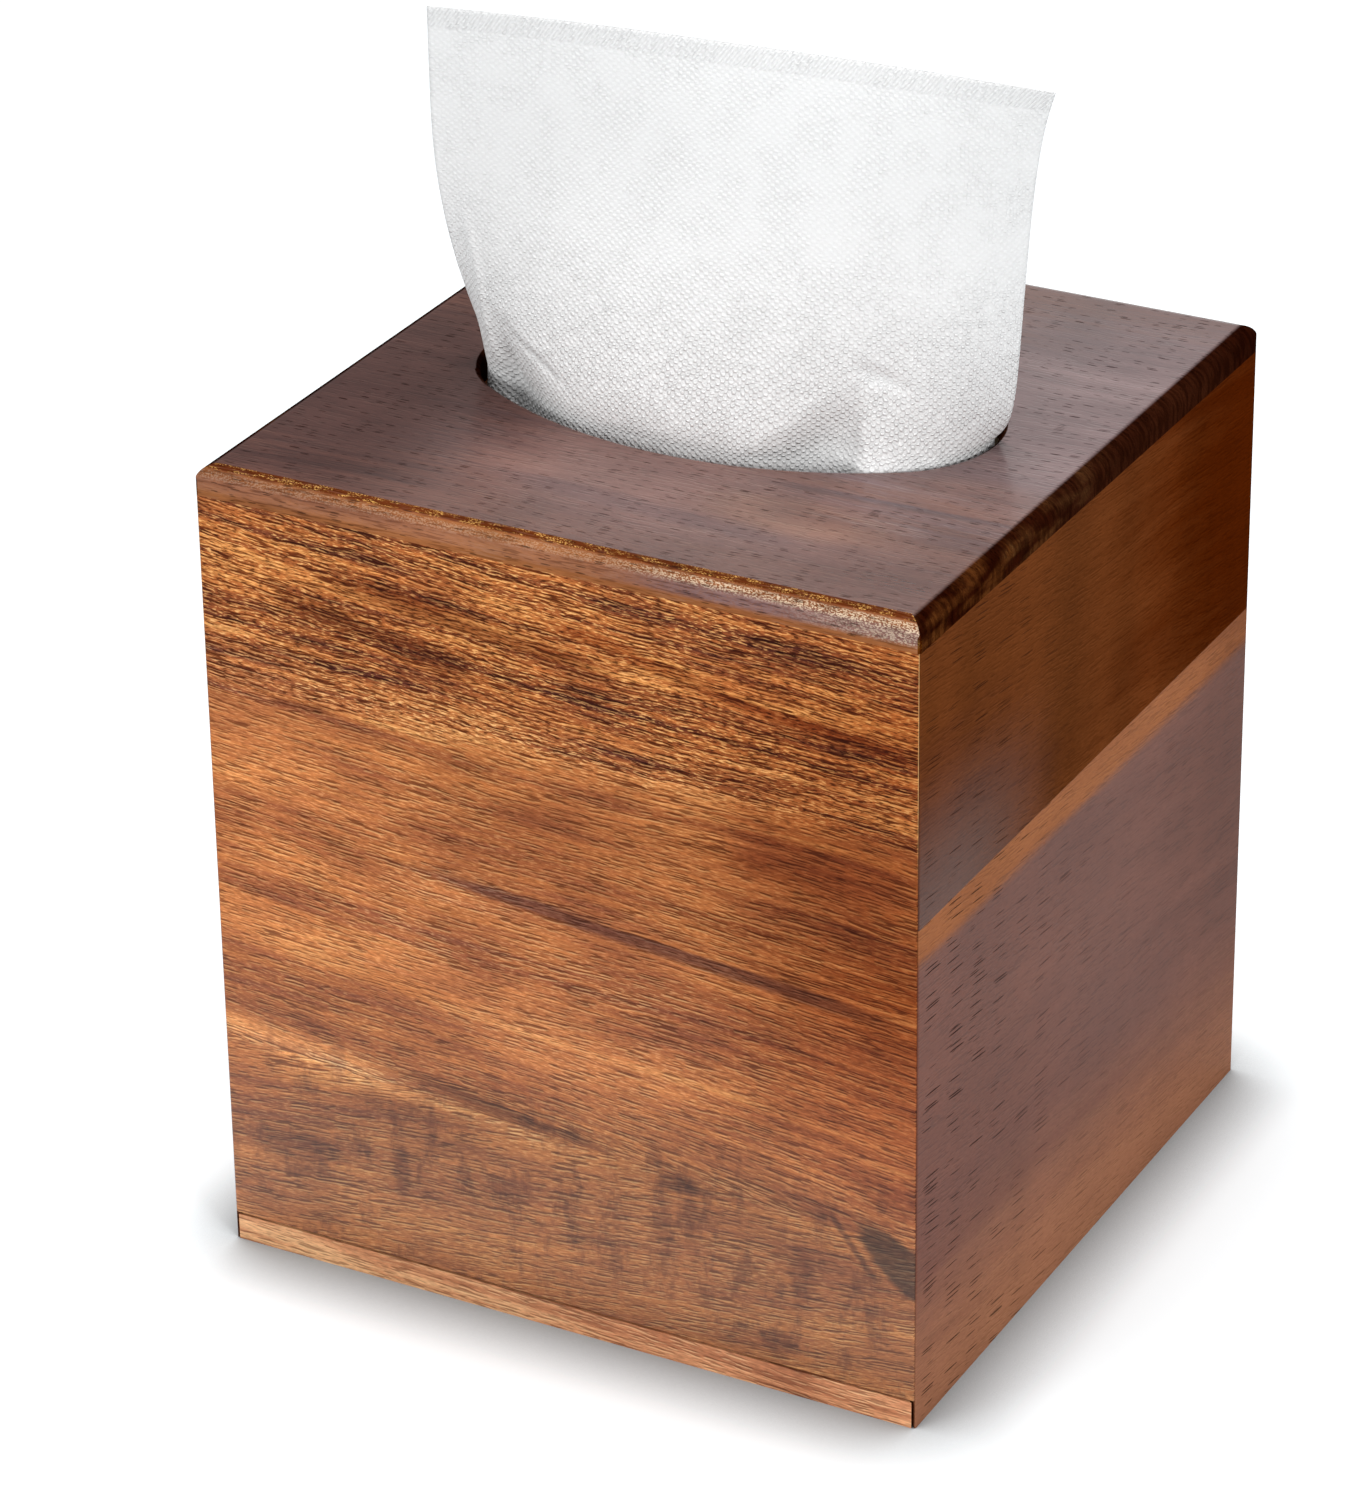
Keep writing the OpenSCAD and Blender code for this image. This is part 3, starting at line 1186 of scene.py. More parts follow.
FRONT_WALL = Wood(
    "wood_front", Grain.WIDTH_ON_UPRIGHT, seed=0.7,
    shades=(srgb(88, 46, 38), srgb(140, 78, 47), srgb(180, 108, 60), srgb(212, 146, 86)),
    fall=0.06, swirl=Swirl((-69.5, 43.5), (69.5, 36.5), fall=-0.09), band_width=7, contrast=0.5,
    fibre=0.9, grit=1.1, dash_width=0.32, dash_dark=0.8, painted_lip_light=0.32, gleam=srgb(244, 194, 130),
    # painted highlight down the upper part of the rounded right corner
    end=EndGrain(lit_arris=(104, 130)), chaos_above=(112, 117),
    smudges=Smudges(0.75, below=(38, 56)), roughness=0.38,
    coat=Fade(0.9, 0, 10, 90), relief=0.7,
    marks=(
        Streak((-40, 140), (12, 134), 3.2, (0.5, 0.4, 0.38), 3),
        Streak((-52, 134), (-14, 129), 3, (0.5, 0.42, 0.42), 3),
        Streak((2, 140.7), (30, 135.8), 2.4, (0.6, 0.46, 0.4), 3),
        Streak((28, 135.5), (70, 130.5), 1.8, (0.55, 0.4, 0.36), 3),
        Streak((-56, 113.8), (-44, 114.5), 1.4, (0.5, 0.44, 0.5), 1),
        Streak((34, 107), (70, 104), 8, (0.72, 0.62, 0.66), 4),
        Streak((-26, 87.4), (66, 79.8), 2, (0.44, 0.46, 0.72), 2, 0.7),
        Streak((-84, 47.5), (-36, 42.5), 4.4, (1.55, 1.85, 2), 5, 0.9),
        Streak((-52, 43.4), (4, 38), 2.2, (1.2, 1.35, 1.45), 4),
        Streak((-30, 44.5), (8, 40.5), 1.8, (0.5, 0.46, 0.5), 6),
        Patch((-33.2, 25), (2.4, 9), (0.6, 0.54, 0.58), 0.6),
        Patch((-55, 22), (12, 6), (0.7, 0.66, 0.7), 0.8),
        Patch((24, 37), (6, 2.6), (0.5, 0.46, 0.5), 0.5, 0.5),
        Patch((25.6, 31), (2, 8), (0.66, 0.62, 0.66), 0.6, 0.6),
        Patch((47.5, 25), (3.6, 8), (0.66, 0.6, 0.64), 0.7, 0.6),
        Patch((43, 10), (4, 5), (0.7, 0.66, 0.7), 0.7, 0.6),
        Patch((67.5, 32), (7, 8.6), (0.3, 0.34, 0.46), 0.25, 0.3, -0.9),
        Streak((53, 39.5), (62, 28), 1, (0.5, 0.48, 0.55), 0.6),
        Patch((10, 18), (110, 34), (0.84, 0.9, 0.92), 0.2, 0.4),
        Patch((0, 156), (160, 42), (0.98, 0.9, 0.78), 0.2, 0.3),
        # painted light: the left of the wall lighter
        Patch((-70, 88), (74, 40), (1.32, 1.4, 1.46)),
        Patch((0, 70), (50, 30), (1.1, 1.14, 1.24)),
        # painted shade: the right of the wall darker
        Patch((80, 110), (70, 60), (0.68, 0.56, 0.46)),
        Patch((80, 66), (60, 40), (0.76, 0.62, 0.56)),
    ))

BACK_WALL = Wood(
    "wood_back", Grain.WIDTH_ON_UPRIGHT, seed=9.3,
    shades=(srgb(84, 44, 32), srgb(124, 72, 46), srgb(156, 96, 60), srgb(188, 128, 84)),
    fall=-0.04, band_width=9, contrast=0.5, fibre=0.7, grit=0.8, dash_dark=0.6, painted_lip_light=0.35,
    gleam=srgb(214, 160, 112), chaos=0.6, smudges=Smudges(0.3, below=(40, 90)),
    coat=Fade(0.6, 0.2, 10, 120), relief=0.6)

LEFT_WALL = Wood(
    "wood_left", Grain.DEPTH_ON_UPRIGHT, seed=15.2,
    shades=(srgb(66, 34, 26), srgb(100, 56, 38), srgb(130, 78, 50), srgb(160, 104, 68)),
    fall=0.05, band_width=10, contrast=0.5, fibre=0.5, grit=0.6, dash_dark=0.4, painted_lip_light=0.25,
    gleam=srgb(190, 136, 94), pores=Pores(0.5, 9, 0.46),
    coat=Fade(0.7, 0.3, 10, 120))

RIGHT_WALL_UPPER_BOARD = Wood(
    "wood_right_upper", Grain.DEPTH_ON_UPRIGHT, seed=21.5,
    shades=(srgb(72, 34, 12), srgb(92, 48, 22), srgb(110, 60, 28), srgb(130, 74, 34)),
    fall=0.12, band_width=16, contrast=0.15, fibre=0.15, grit=0.6, shimmer=0.8, dash_dark=0.25,
    painted_lip_light=0.1, gleam=srgb(150, 90, 48), roughness=0.5, specular=0,
    pores=Pores(0.6, 9, 0.42, Fade(1, 0.1, -50, 10, across=False)),
    coat=Fade(0.4, 0, 97, 130), coat_run=Fade(1, 0, -60, -10, across=False),
    marks=(
        Patch((76, 128), (92, 84), (0.56, 0.3, 0.07), 0.3, 0.8),
        # painted reflection: a mauve-grey veil at the front of the board
        Patch((-66, 106), (60, 34), (0.68, 0.74, 1.4), 0.3, 0.9),
    ))

RIGHT_WALL_LOWER_BOARD = Wood(
    "wood_right_lower", Grain.DEPTH_ON_UPRIGHT, seed=30.4,
    shades=(srgb(88, 46, 35), srgb(102, 58, 45), srgb(113, 66, 51), srgb(128, 80, 60)),
    fall=0.1, band_width=18, contrast=0.3, fibre=0.15, grit=0.5, dash_dark=0.25, painted_lip_light=0.06,
    gleam=srgb(150, 104, 80), roughness=0.45, specular=0,
    pores=Pores(0.8, 9, 0.46, Fade(1, 0.3, -60, 20, across=False)),
    coat=Fade(0.2, 0.33, 8, 40), coat_run=Fade(1, 0.8, 0, 60, across=False),
    marks=(
        Streak((-110, 96.4), (110, 95.8), 5.8, (2.1, 2.25, 1.35), 1.4, 0.6, 0.7),
        Patch((-10, -8), (200, 49), (2.7, 3.45, 2.85), 0.3, 0.9),
        Patch((-74, 60), (44, 70), (1.07, 1.06, 1.06), 0.3, 0.8),
        Patch((80, 74), (60, 56), (0.82, 0.76, 0.7)),
    ))

BASE_PANEL = Wood(
    "wood_base", Grain.WIDTH_ON_FLAT, seed=41,
    shades=(srgb(124, 80, 52), srgb(160, 108, 70), srgb(188, 134, 92), srgb(208, 160, 116)),
    band_width=12, contrast=0.5, dash_dark=0.35, painted_lip_light=0.25, gleam=srgb(222, 178, 132),
    pores=Pores(0.5), roughness=0.6, coat=Fade(0.1, 0.1))

BASE_FRONT_STRIP = Wood(
    "wood_strip", Grain.WIDTH_ON_UPRIGHT, seed=47.7,
    shades=(srgb(132, 78, 52), srgb(174, 112, 76), srgb(202, 140, 98), srgb(226, 172, 124)),
    fall=0.02, band_width=5, grit=1.2, dash_dark=0.6, painted_lip_light=0.5, gleam=srgb(238, 196, 144),
    roughness=0.4, coat=Fade(0.6, 0.6), end=EndGrain(tint=(0.7, 0.62, 0.55)),
    marks=(Patch((60, 2), (90, 20), (1.22, 1.22, 1.26), 0.3, 0.8),))


@dataclass
class Cover:
    """The wooden cover: four walls, the top panel and the sliding base, each cut from its own board."""

    finishes: dict[str, Wood] = field(default_factory=lambda: {
        "top_panel": TOP_PANEL, "front_wall": FRONT_WALL,
        "back_wall": BACK_WALL, "left_wall": LEFT_WALL,
        "right_wall_upper_board": RIGHT_WALL_UPPER_BOARD, "right_wall_lower_board": RIGHT_WALL_LOWER_BOARD,
        "base_panel": BASE_PANEL, "base_front_strip": BASE_FRONT_STRIP,
    })

    def build(self) -> None:
        """Dresses each board's own solid."""
        for node, finish in self.finishes.items():
            dress(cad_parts[node], finish.material())
            LOG.info("%s: %s", node, finish.name)


@dataclass
class Opening:
    """The oval opening in the top panel, four arcs that meet smoothly. Lengths are in millimetres.

    An end arc's centre, a flank's centre and the oval's centre make a right triangle of 28, 45 and 53 parts.
    """

    width: float = 99
    depth: float = 57
    gap: float = 0.6
    triangle: tuple[int, int, int] = (28, 45, 53)

    def __post_init__(self) -> None:
        """Works out the arcs."""
        across, along, slant = self.triangle
        part = (self.width - self.depth) / 2 / (across + along - slant)
        self.end_x = part * across
        self.flank_y = part * along
        self.end_r = self.depth / 2 + self.flank_y - part * slant
        self.flank_r = self.depth / 2 + self.flank_y
        self.turn = math.atan2(self.end_x, self.flank_y)

    def front(self, way: np.ndarray) -> np.ndarray:
        """Gives points along the front of the opening, set in by the gap.

        Args:
            way: Arc lengths from the middle of the front, to the right.

        Returns:
            The points' X and Y, in a last axis of 2.
        """
        long_r, short_r = self.flank_r - self.gap, self.end_r - self.gap
        long_way = long_r * self.turn
        far = np.abs(way)
        hand = np.where(way < 0, -1, 1)
        on_flank = np.minimum(far, long_way) / long_r
        on_end = self.turn + np.maximum(far - long_way, 0) / short_r
        x = np.where(far < long_way, long_r * np.sin(on_flank), self.end_x + short_r * np.sin(on_end))
        y = np.where(far < long_way, self.flank_y - long_r * np.cos(on_flank), -short_r * np.cos(on_end))
        return np.stack([hand * x, y], axis=-1)


def ramp(place: np.ndarray, start: float, end: float) -> np.ndarray:
    """Goes smoothly from 0 at a start to 1 at an end."""
    share = np.clip((place - start) / (end - start), 0, 1)
    return share * share * (3 - 2 * share)


def bump(place: np.ndarray, middle: float, width: float) -> np.ndarray:
    """Gives a bell round a middle."""
    return np.exp(-(((place - middle) / width) ** 2))


class Dent:
    """A form pressed into the standing tissue, by place across the sheet and height above the cover.

    Lengths are in millimetres. A ramp's two ends are where it is 0 and where it is full.
    """

    def press(self, at: np.ndarray, up: np.ndarray) -> np.ndarray:
        """Gives how far the tissue is pressed in, or out where the value is below 0.

        Args:
            at: Place across the sheet.
            up: Height above the cover.

        Returns:
            The distance inwards.
        """
        raise NotImplementedError


@dataclass(frozen=True)
class Crease(Dent):
    """A small crease: a bell across the sheet and a bell up it."""

    depth: float
    at: float
    width: float
    up: float
    height: float
    lean: float = 0

    def press(self, at: np.ndarray, up: np.ndarray) -> np.ndarray:
        """Gives the crease."""
        across = bump(at + (up - self.up) * self.lean, self.at, self.width)
        return self.depth * across * bump(up, self.up, self.height)


@dataclass(frozen=True)
class Hollow(Dent):
    """The soft hollow at the left foot, under a slanting and slightly wavy ridge."""

    at: float = -36
    width: float = 10
    ridge: Place = (-33, 11)
    slope: float = math.tan(math.radians(17))
    wave: float = 0.5
    wave_way: float = 2.3
    step: float = 0.5
    step_way: float = 2
    sag: float = 0.026
    left_ramp: Place = (-48, -40)
    left_share: float = 0.4

    def press(self, at: np.ndarray, up: np.ndarray) -> np.ndarray:
        """Gives the hollow.

        Args:
            at: Place across the sheet.
            up: Height above the cover.

        Returns:
            The distance inwards.
        """
        ridge = self.ridge[1] + (self.ridge[0] - at) * self.slope + self.wave * np.sin(at / self.wave_way)
        under = np.maximum(ridge - up, 0)
        sag = self.step * (1 - np.exp(-under / self.step_way)) + self.sag * under**2
        share = self.left_share + (1 - self.left_share) * ramp(at, *self.left_ramp)
        return bump(at, self.at, self.width) * sag * share


@dataclass(frozen=True)
class Tuck(Dent):
    """The pull into the opening along the tissue's foot, which fades upwards."""

    depth: float = 2.8
    height: float = 2.8
    left_ramp: Place = (-38, -8)
    right_ramp: Place = (30, 6)

    def press(self, at: np.ndarray, up: np.ndarray) -> np.ndarray:
        """Gives the tuck."""
        fading = self.depth * np.exp(-up / self.height)
        return fading * ramp(at, *self.right_ramp) * ramp(at, *self.left_ramp)


@dataclass(frozen=True)
class Pleat(Dent):
    """The fold along the right side, under a line that climbs to the right, and its soft inner side."""

    side: float = 35.3
    side_lean: float = 0.1
    roof: float = 17
    roof_at: Place = (11, 35)
    roof_soft: float = 16
    fold: float = 2.4
    fold_way: float = 1.3
    inner: float = 6.4
    inner_way: float = 8

    def press(self, at: np.ndarray, up: np.ndarray) -> np.ndarray:
        """Gives the pleat.

        Args:
            at: Place across the sheet.
            up: Height above the cover.

        Returns:
            The distance inwards.
        """
        left, right = self.roof_at
        roof = self.roof * np.clip((at - left) / (right - left), 0, 1)
        past = np.maximum(self.side - self.side_lean * up - at, 0)
        fold = self.fold * (1 - np.exp(-past / self.fold_way))
        inner = self.inner * (1 - np.exp(-past / self.inner_way))
        return ramp(roof - up, 0, self.roof_soft) * (fold + inner)


@dataclass(frozen=True)
class Rib(Dent):
    """An upright rib that stands out, and starts and ends softly."""

    height: float
    at: float
    width: float
    ramps: tuple[Place, ...]
    lean: float = 0

    def press(self, at: np.ndarray, up: np.ndarray) -> np.ndarray:
        """Gives the rib.

        Args:
            at: Place across the sheet.
            up: Height above the cover.

        Returns:
            The distance inwards.
        """
        rib = -self.height * bump(at + self.lean * up, self.at, self.width)
        for ends in self.ramps:
            rib = rib * ramp(up, *ends)
        return rib


@dataclass(frozen=True)
class Nick(Dent):
    """The short slanting crease across the rib at the right."""

    depth: float = 0.8
    at: float = 35
    up: float = 16
    width: float = 1.2
    lean: float = 0.35
    left_ramp: Place = (32, 35)
    right_ramp: Place = (43, 38)

    def press(self, at: np.ndarray, up: np.ndarray) -> np.ndarray:
        """Gives the crease."""
        line = self.depth * bump(up + self.lean * (at - self.at), self.up, self.width)
        return line * ramp(at, *self.left_ramp) * ramp(at, *self.right_ramp)


@dataclass(frozen=True)
class Slack(Dent):
    """Slow waves of a sheet that hangs loose above the cover."""

    depth: float
    across: float
    upward: float
    ramps: tuple[Place, ...]
    start: float = 0

    def press(self, at: np.ndarray, up: np.ndarray) -> np.ndarray:
        """Gives the waves.

        Args:
            at: Place across the sheet.
            up: Height above the cover.

        Returns:
            The distance inwards.
        """
        waves = self.depth * np.sin(at / self.across + up / self.upward + self.start)
        for ends in self.ramps:
            waves = waves * ramp(up, *ends)
        return waves


@dataclass
class StandingTissue:
    """The tissue that stands up through the opening. Lengths are in millimetres.

    Its tail lies on the pile, its foot is straight, it bends along the opening's front edge and straightens
    again above the cover.
    """

    opening: Opening = field(default_factory=Opening)
    length: float = 190
    rise: float = 67.5
    thickness: float = 0.24
    foot_y: float = -12
    foot_rise: float = 24
    foot_bend: float = 3
    foot_clear: float = 0.4
    shift: float = 5.5
    left_draw: float = 5
    left_from: float = -36
    left_by: float = 50
    side_power: float = 2.5
    middle_power: float = 1.2
    right_foot: float = 0.36
    right_foot_way: float = 4
    right_top: float = 0.28
    right_top_power: float = 6
    top_x: float = 4
    top_y: float = -8
    top_turn: float = 4.7
    top_bow: float = 1
    top_crown: float = 1.4
    top_draw: float = 0.985
    dent_ramp: Place = (-20, 0)
    dents: tuple[Dent, ...] = (
        Hollow(),
        Tuck(),
        Rib(0.5, at=-42, width=1.2, ramps=((0, 5), (34, 22)), lean=0.2),
        Pleat(),
        Rib(0.9, at=38, width=4, ramps=((16, 0),)),
        Nick(),
        Crease(1.3, at=-39.4, width=1.5, up=3.6, height=3.4),
        Crease(0.6, at=-30, width=1.3, up=8, height=2.2, lean=2.6),
        Crease(0.25, at=13, width=1.6, up=17, height=9),
    )
    waves: tuple[Dent, ...] = (
        Slack(0.14, across=9, upward=16, ramps=((0, 14),)),
        Slack(0.1, across=4.3, upward=-11, ramps=((0, 10), (55, 30)), start=1),
    )
    columns: int = 176
    rise_rows: int = 116
    rise_power: float = 1.15
    inner_rows: int = 66
    tail_rows: int = 36
    tail_wave: float = 0.15
    tail_wave_way: float = 9
    paper: TissuePaper = TissuePaper("tissue")

    def __post_init__(self) -> None:
        """Takes the sheet's width, the pile's top and the cover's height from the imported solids."""
        low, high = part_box("tissue_stack")
        self.width = (high[0] - low[0]) / MM
        self.pile_top = high[2] / MM
        self.cover_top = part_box("top_panel")[1][2] / MM
        self.foot_z = self.pile_top + self.foot_bend + self.foot_clear

    def top_line(self, s: np.ndarray) -> np.ndarray:
        """Gives the plan of the tissue's top edge.

        Args:
            s: Place across the sheet.

        Returns:
            The points' X and Y, in a last axis of 2.
        """
        turn = math.radians(self.top_turn)
        along = s * self.top_draw
        bow = self.top_bow * (1 - (2 * s / self.width) ** 2)
        return np.stack([self.top_x + along * math.cos(turn) + bow * math.sin(turn),
                         self.top_y + along * math.sin(turn) - bow * math.cos(turn)], axis=-1)

    def spread(self, s: np.ndarray, h: np.ndarray) -> np.ndarray:
        """Gives how far the tissue has gone from the opening's edge to its top edge.

        Args:
            s: Place across the sheet.
            h: Height above the cover.

        Returns:
            A share, 0 at the opening's edge and 1 at the top edge.
        """
        share = np.clip(s / self.width + 0.5, 0, 1)
        high = np.maximum(h, 0)
        up = high / self.rise
        at_left, at_right = (1 - share) ** self.side_power, share**self.side_power
        left = 1 - (1 - np.minimum(1, high / self.left_by)) ** 2
        right = (self.right_foot * (1 - np.exp(-high / self.right_foot_way))
                 + self.right_top * up**self.right_top_power
                 + (1 - self.right_foot - self.right_top) * up)
        return at_left * left + at_right * right + (1 - at_left - at_right) * up**self.middle_power

    def dent(self, s: np.ndarray, h: np.ndarray) -> np.ndarray:
        """Gives how far the tissue is pressed in from its smooth form.

        Args:
            s: Place across the sheet.
            h: Height above the cover.

        Returns:
            The distance inwards.
        """
        at, up = s + self.shift, np.maximum(h, 0)
        dents, waves = (sum(form.press(at, up) for form in forms) for forms in (self.dents, self.waves))
        return ramp(h, *self.dent_ramp) * dents + waves

    def plan(self, s: np.ndarray, z: np.ndarray) -> np.ndarray:
        """Gives the plan of the tissue before its dents.

        Args:
            s: Place across the sheet.
            z: Height in the part.

        Returns:
            The points' X and Y, in a last axis of 2.
        """
        h = z - self.cover_top
        foot = ramp(z, self.foot_z, self.foot_z + self.foot_rise)[..., None]
        drawn = self.left_draw * ramp(s, self.left_from, -self.width / 2)
        rim = self.opening.front(s + self.shift - drawn)
        straight = np.stack([s, np.full_like(s, self.foot_y)], axis=-1)
        gone = np.where(h > 0, self.spread(s, h), 0)[..., None]
        inside = straight * (1 - foot) + rim * foot
        return np.where((h > 0)[..., None], rim * (1 - gone) + self.top_line(s) * gone, inside)

    def point(self, s: np.ndarray, z: np.ndarray) -> np.ndarray:
        """Gives the middle of the sheet, with its dents.

        Args:
            s: Place across the sheet.
            z: Height in the part, before the top edge's crown.

        Returns:
            The points, in a last axis of 3.
        """
        step = 0.8
        run = self.plan(s + step, z) - self.plan(s - step, z)
        run /= np.linalg.norm(run, axis=-1, keepdims=True)
        inward = np.stack([-run[..., 1], run[..., 0]], axis=-1)
        h = z - self.cover_top
        deep = (self.dent(s, h) + self.thickness)[..., None]
        crown = self.top_crown * (1 - (2 * s / self.width) ** 2) * np.maximum(h, 0) / self.rise
        flat = self.plan(s, z) + deep * inward
        return np.concatenate([flat, (z + crown)[..., None]], axis=-1)

    def surface(self) -> np.ndarray:
        """Lays out the whole sheet, from its top edge down to the end of its tail.

        Returns:
            Points in rows and columns.
        """
        s = np.linspace(-0.5, 0.5, self.columns + 1) * self.width
        up = np.linspace(1, 0, self.rise_rows + 1) ** self.rise_power
        above = self.cover_top + self.rise * up
        inside = np.linspace(self.cover_top, self.foot_z, self.inner_rows + 1)[1:]
        grid_s, grid_z = np.meshgrid(s, np.concatenate([above, inside]))
        standing = self.point(grid_s, grid_z)
        middle = np.diff(standing[:, self.columns // 2], axis=0)
        gone = float(np.linalg.norm(middle, axis=-1).sum())
        return np.concatenate([standing, self.tail(standing[-1], self.length - gone)])

    def tail(self, foot: np.ndarray, length: float) -> np.ndarray:
        """Lays the rest of the sheet on the pile, behind a round bend.

        Args:
            foot: The points of the standing part's lowest row.
            length: The length that is left.

        Returns:
            Points in rows and columns.
        """
        way = np.linspace(0, length, self.tail_rows + 1)[1:]
        angle = np.minimum(way / self.foot_bend, math.pi / 2)
        bend_way = self.foot_bend * math.pi / 2
        back = self.foot_bend * (1 - np.cos(angle)) + np.maximum(way - bend_way, 0)
        down = self.foot_bend * np.sin(angle)
        wave = self.tail_wave * np.sin(foot[:, 0] / self.tail_wave_way)
        flat = np.clip((back - self.foot_bend) / self.tail_wave_way, 0, 1)
        return np.stack([
            np.stack([foot[:, 0], foot[:, 1] + b, foot[:, 2] - d + wave * f + self.tail_wave], axis=-1)
            for b, d, f in zip(back, down, flat)])

    def build(self) -> bpy.types.Object:
        """Models the tissue as one sheet with a thickness, and lays its flat map along it.

        Returns:
            The tissue.
        """
        points = self.surface()
        rows, cols, _ = points.shape
        Bench.deselect()
        bpy.ops.mesh.primitive_grid_add(x_subdivisions=cols - 1, y_subdivisions=rows - 1, size=1)
        tissue = Bench.take("standing_tissue")
        mesh = tissue.data
        places = np.empty(len(mesh.vertices) * 3)
        mesh.vertices.foreach_get("co", places)
        places = places.reshape(-1, 3)
        column = np.rint((places[:, 0] + 0.5) * (cols - 1)).astype(int)
        line = np.rint((0.5 - places[:, 1]) * (rows - 1)).astype(int)
        mesh.vertices.foreach_set("co", (points[line, column] * MM).ravel())
        steps = np.linalg.norm(np.diff(points, axis=0), axis=-1)
        down = np.vstack([np.zeros(cols), np.cumsum(steps, axis=0)])
        across = np.linspace(-0.5, 0.5, cols) * self.width
        corners = np.empty(len(mesh.loops), dtype=int)
        mesh.loops.foreach_get("vertex_index", corners)
        flat = np.stack([across[column[corners]], down[line[corners], column[corners]]], axis=-1) / FLAT_MM
        mesh.uv_layers.active.data.foreach_set("uv", flat.ravel())
        mesh.update()
        Bench.modify(tissue, "SOLIDIFY", thickness=self.thickness * MM, offset=0, use_even_offset=True)
        Bench.smooth(tissue)
        dress(tissue, self.paper.material())
        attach(tissue, "tissue")
        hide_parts("tissue_sheet")
        self.width * MM
        LOG.info("standing tissue: %d points", len(mesh.vertices))
        return tissue


@dataclass
class FoldedTissues:
    """The pile of folded tissues left in the carton. Lengths are in millimetres."""

    leaves: int = 42
    slack: float = 0.7
    seed: int = 7
    fold: float = 0.96
    fold_steps: int = 4
    smooth_angle: float = 40
    paper: TissuePaper = TissuePaper("folded_tissue", depth=0.00015)

    def leaf(self, low: Vector, high: Vector) -> bpy.types.Object:
        """Models one folded tissue: a thin block with a rounded fold along each long side.

        Args:
            low: Lowest corner of the leaf.
            high: Highest corner of the leaf.

        Returns:
            The leaf.
        """
        leaf = Bench.block("folded_tissues", low, high)
        half = (high[2] - low[2]) / 2
        with Bench.editing(leaf) as mesh:
            Bench.pick_edges(mesh, leaf, lambda e: abs(e.verts[0].co.x - e.verts[1].co.x) > half)
            bpy.ops.mesh.bevel(offset=half * self.fold, segments=self.fold_steps, affect="EDGES")
        return leaf

    def build(self) -> bpy.types.Object:
        """Piles up copies of one leaf, each a little out of line.

        Returns:
            The pile.
        """
        low, high = (Vector(corner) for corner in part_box("tissue_stack"))
        thick = (high.z - low.z) / self.leaves
        inset = Vector((self.slack, self.slack, 0)) * MM
        first = self.leaf(low + inset, Vector((high.x, high.y, low.z + thick)) - inset)
        random = np.random.default_rng(self.seed)
        pile = [first]
        for number in range(1, self.leaves):
            copy = first.copy()
            copy.data = first.data.copy()
            bpy.context.scene.collection.objects.link(copy)
            drift = random.uniform(-self.slack, self.slack, 2) * MM
            copy.data.transform(Matrix.Translation((drift[0], drift[1], number * thick)))
            pile.append(copy)
        tissues = Bench.join(pile)
        with Bench.editing(tissues):
            bpy.ops.mesh.select_all(action="SELECT")
            bpy.ops.uv.cube_project(cube_size=FLAT_MM * MM)
        Bench.smooth(tissues, self.smooth_angle)
        dress(tissues, self.paper.material())
        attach(tissues, "cover")
        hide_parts("tissue_stack")
        LOG.info("folded tissues: %d leaves", self.leaves)
        return tissues


@dataclass
class Carton:
    """The plain carton inside the cover."""

    board: CartonBoard = CartonBoard()

    def build(self) -> None:
        """Dresses the carton's own solid."""
        dress(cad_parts["tissue_carton"], self.board.material())
        LOG.info("tissue_carton: %s", self.board.name)


@dataclass
class PhotoCamera:
    """The photograph's camera, with lengths in millimetres and angles in degrees."""

    focal_px: float = 5812.8
    long_side_px: float = 1500
    azimuth: float = 28.555
    elevation: float = 27.251
    roll: float = -0.86
    distance: float = 1065.02
    target: Triple = (-14.07, 0, 81.8)
    sensor_width: float = 36
    near: float = 10

    def build(self) -> bpy.types.Object:
        """Creates the camera and makes it the scene's.

        Returns:
            The camera.
        """
        turn, lift, roll = (math.radians(a) for a in (self.azimuth, self.elevation, self.roll))
        back = Vector((math.sin(turn) * math.cos(lift), -math.cos(turn) * math.cos(lift), math.sin(lift)))
        right = Vector((0, 0, 1)).cross(back).normalized()
        upward = back.cross(right)
        tilted_right = right * math.cos(roll) + upward * math.sin(roll)
        tilted_up = upward * math.cos(roll) - right * math.sin(roll)
        place = (Vector(self.target) + back * self.distance) * MM
        data = bpy.data.cameras.new("camera")
        data.sensor_width = self.sensor_width
        data.lens = self.focal_px / self.long_side_px * self.sensor_width
        data.clip_start = self.near * MM
        camera = bpy.data.objects.new("camera", data)
        camera.matrix_world = Matrix.Translation(place) @ Matrix(
            (tilted_right, tilted_up, back)).transposed().to_4x4()
        bpy.context.scene.collection.objects.link(camera)
        bpy.context.scene.camera = camera
        return camera


@dataclass(frozen=True)
class Lamp:
    """A square soft light. Lengths are in metres."""

    name: str
    place: Triple
    size: float
    power: float
    aim: Triple = (0, 0, 0.09)

    def build(self) -> None:
        """Adds the lamp and turns it to its aim."""
        data = bpy.data.lights.new(self.name, "AREA")
        data.shape = "SQUARE"
        data.size = self.size
        data.energy = self.power
        lamp = bpy.data.objects.new(self.name, data)
        lamp.location = self.place
        lamp.rotation_euler = (Vector(self.place) - Vector(self.aim)).to_track_quat("Z", "Y").to_euler()
        bpy.context.scene.collection.objects.link(lamp)


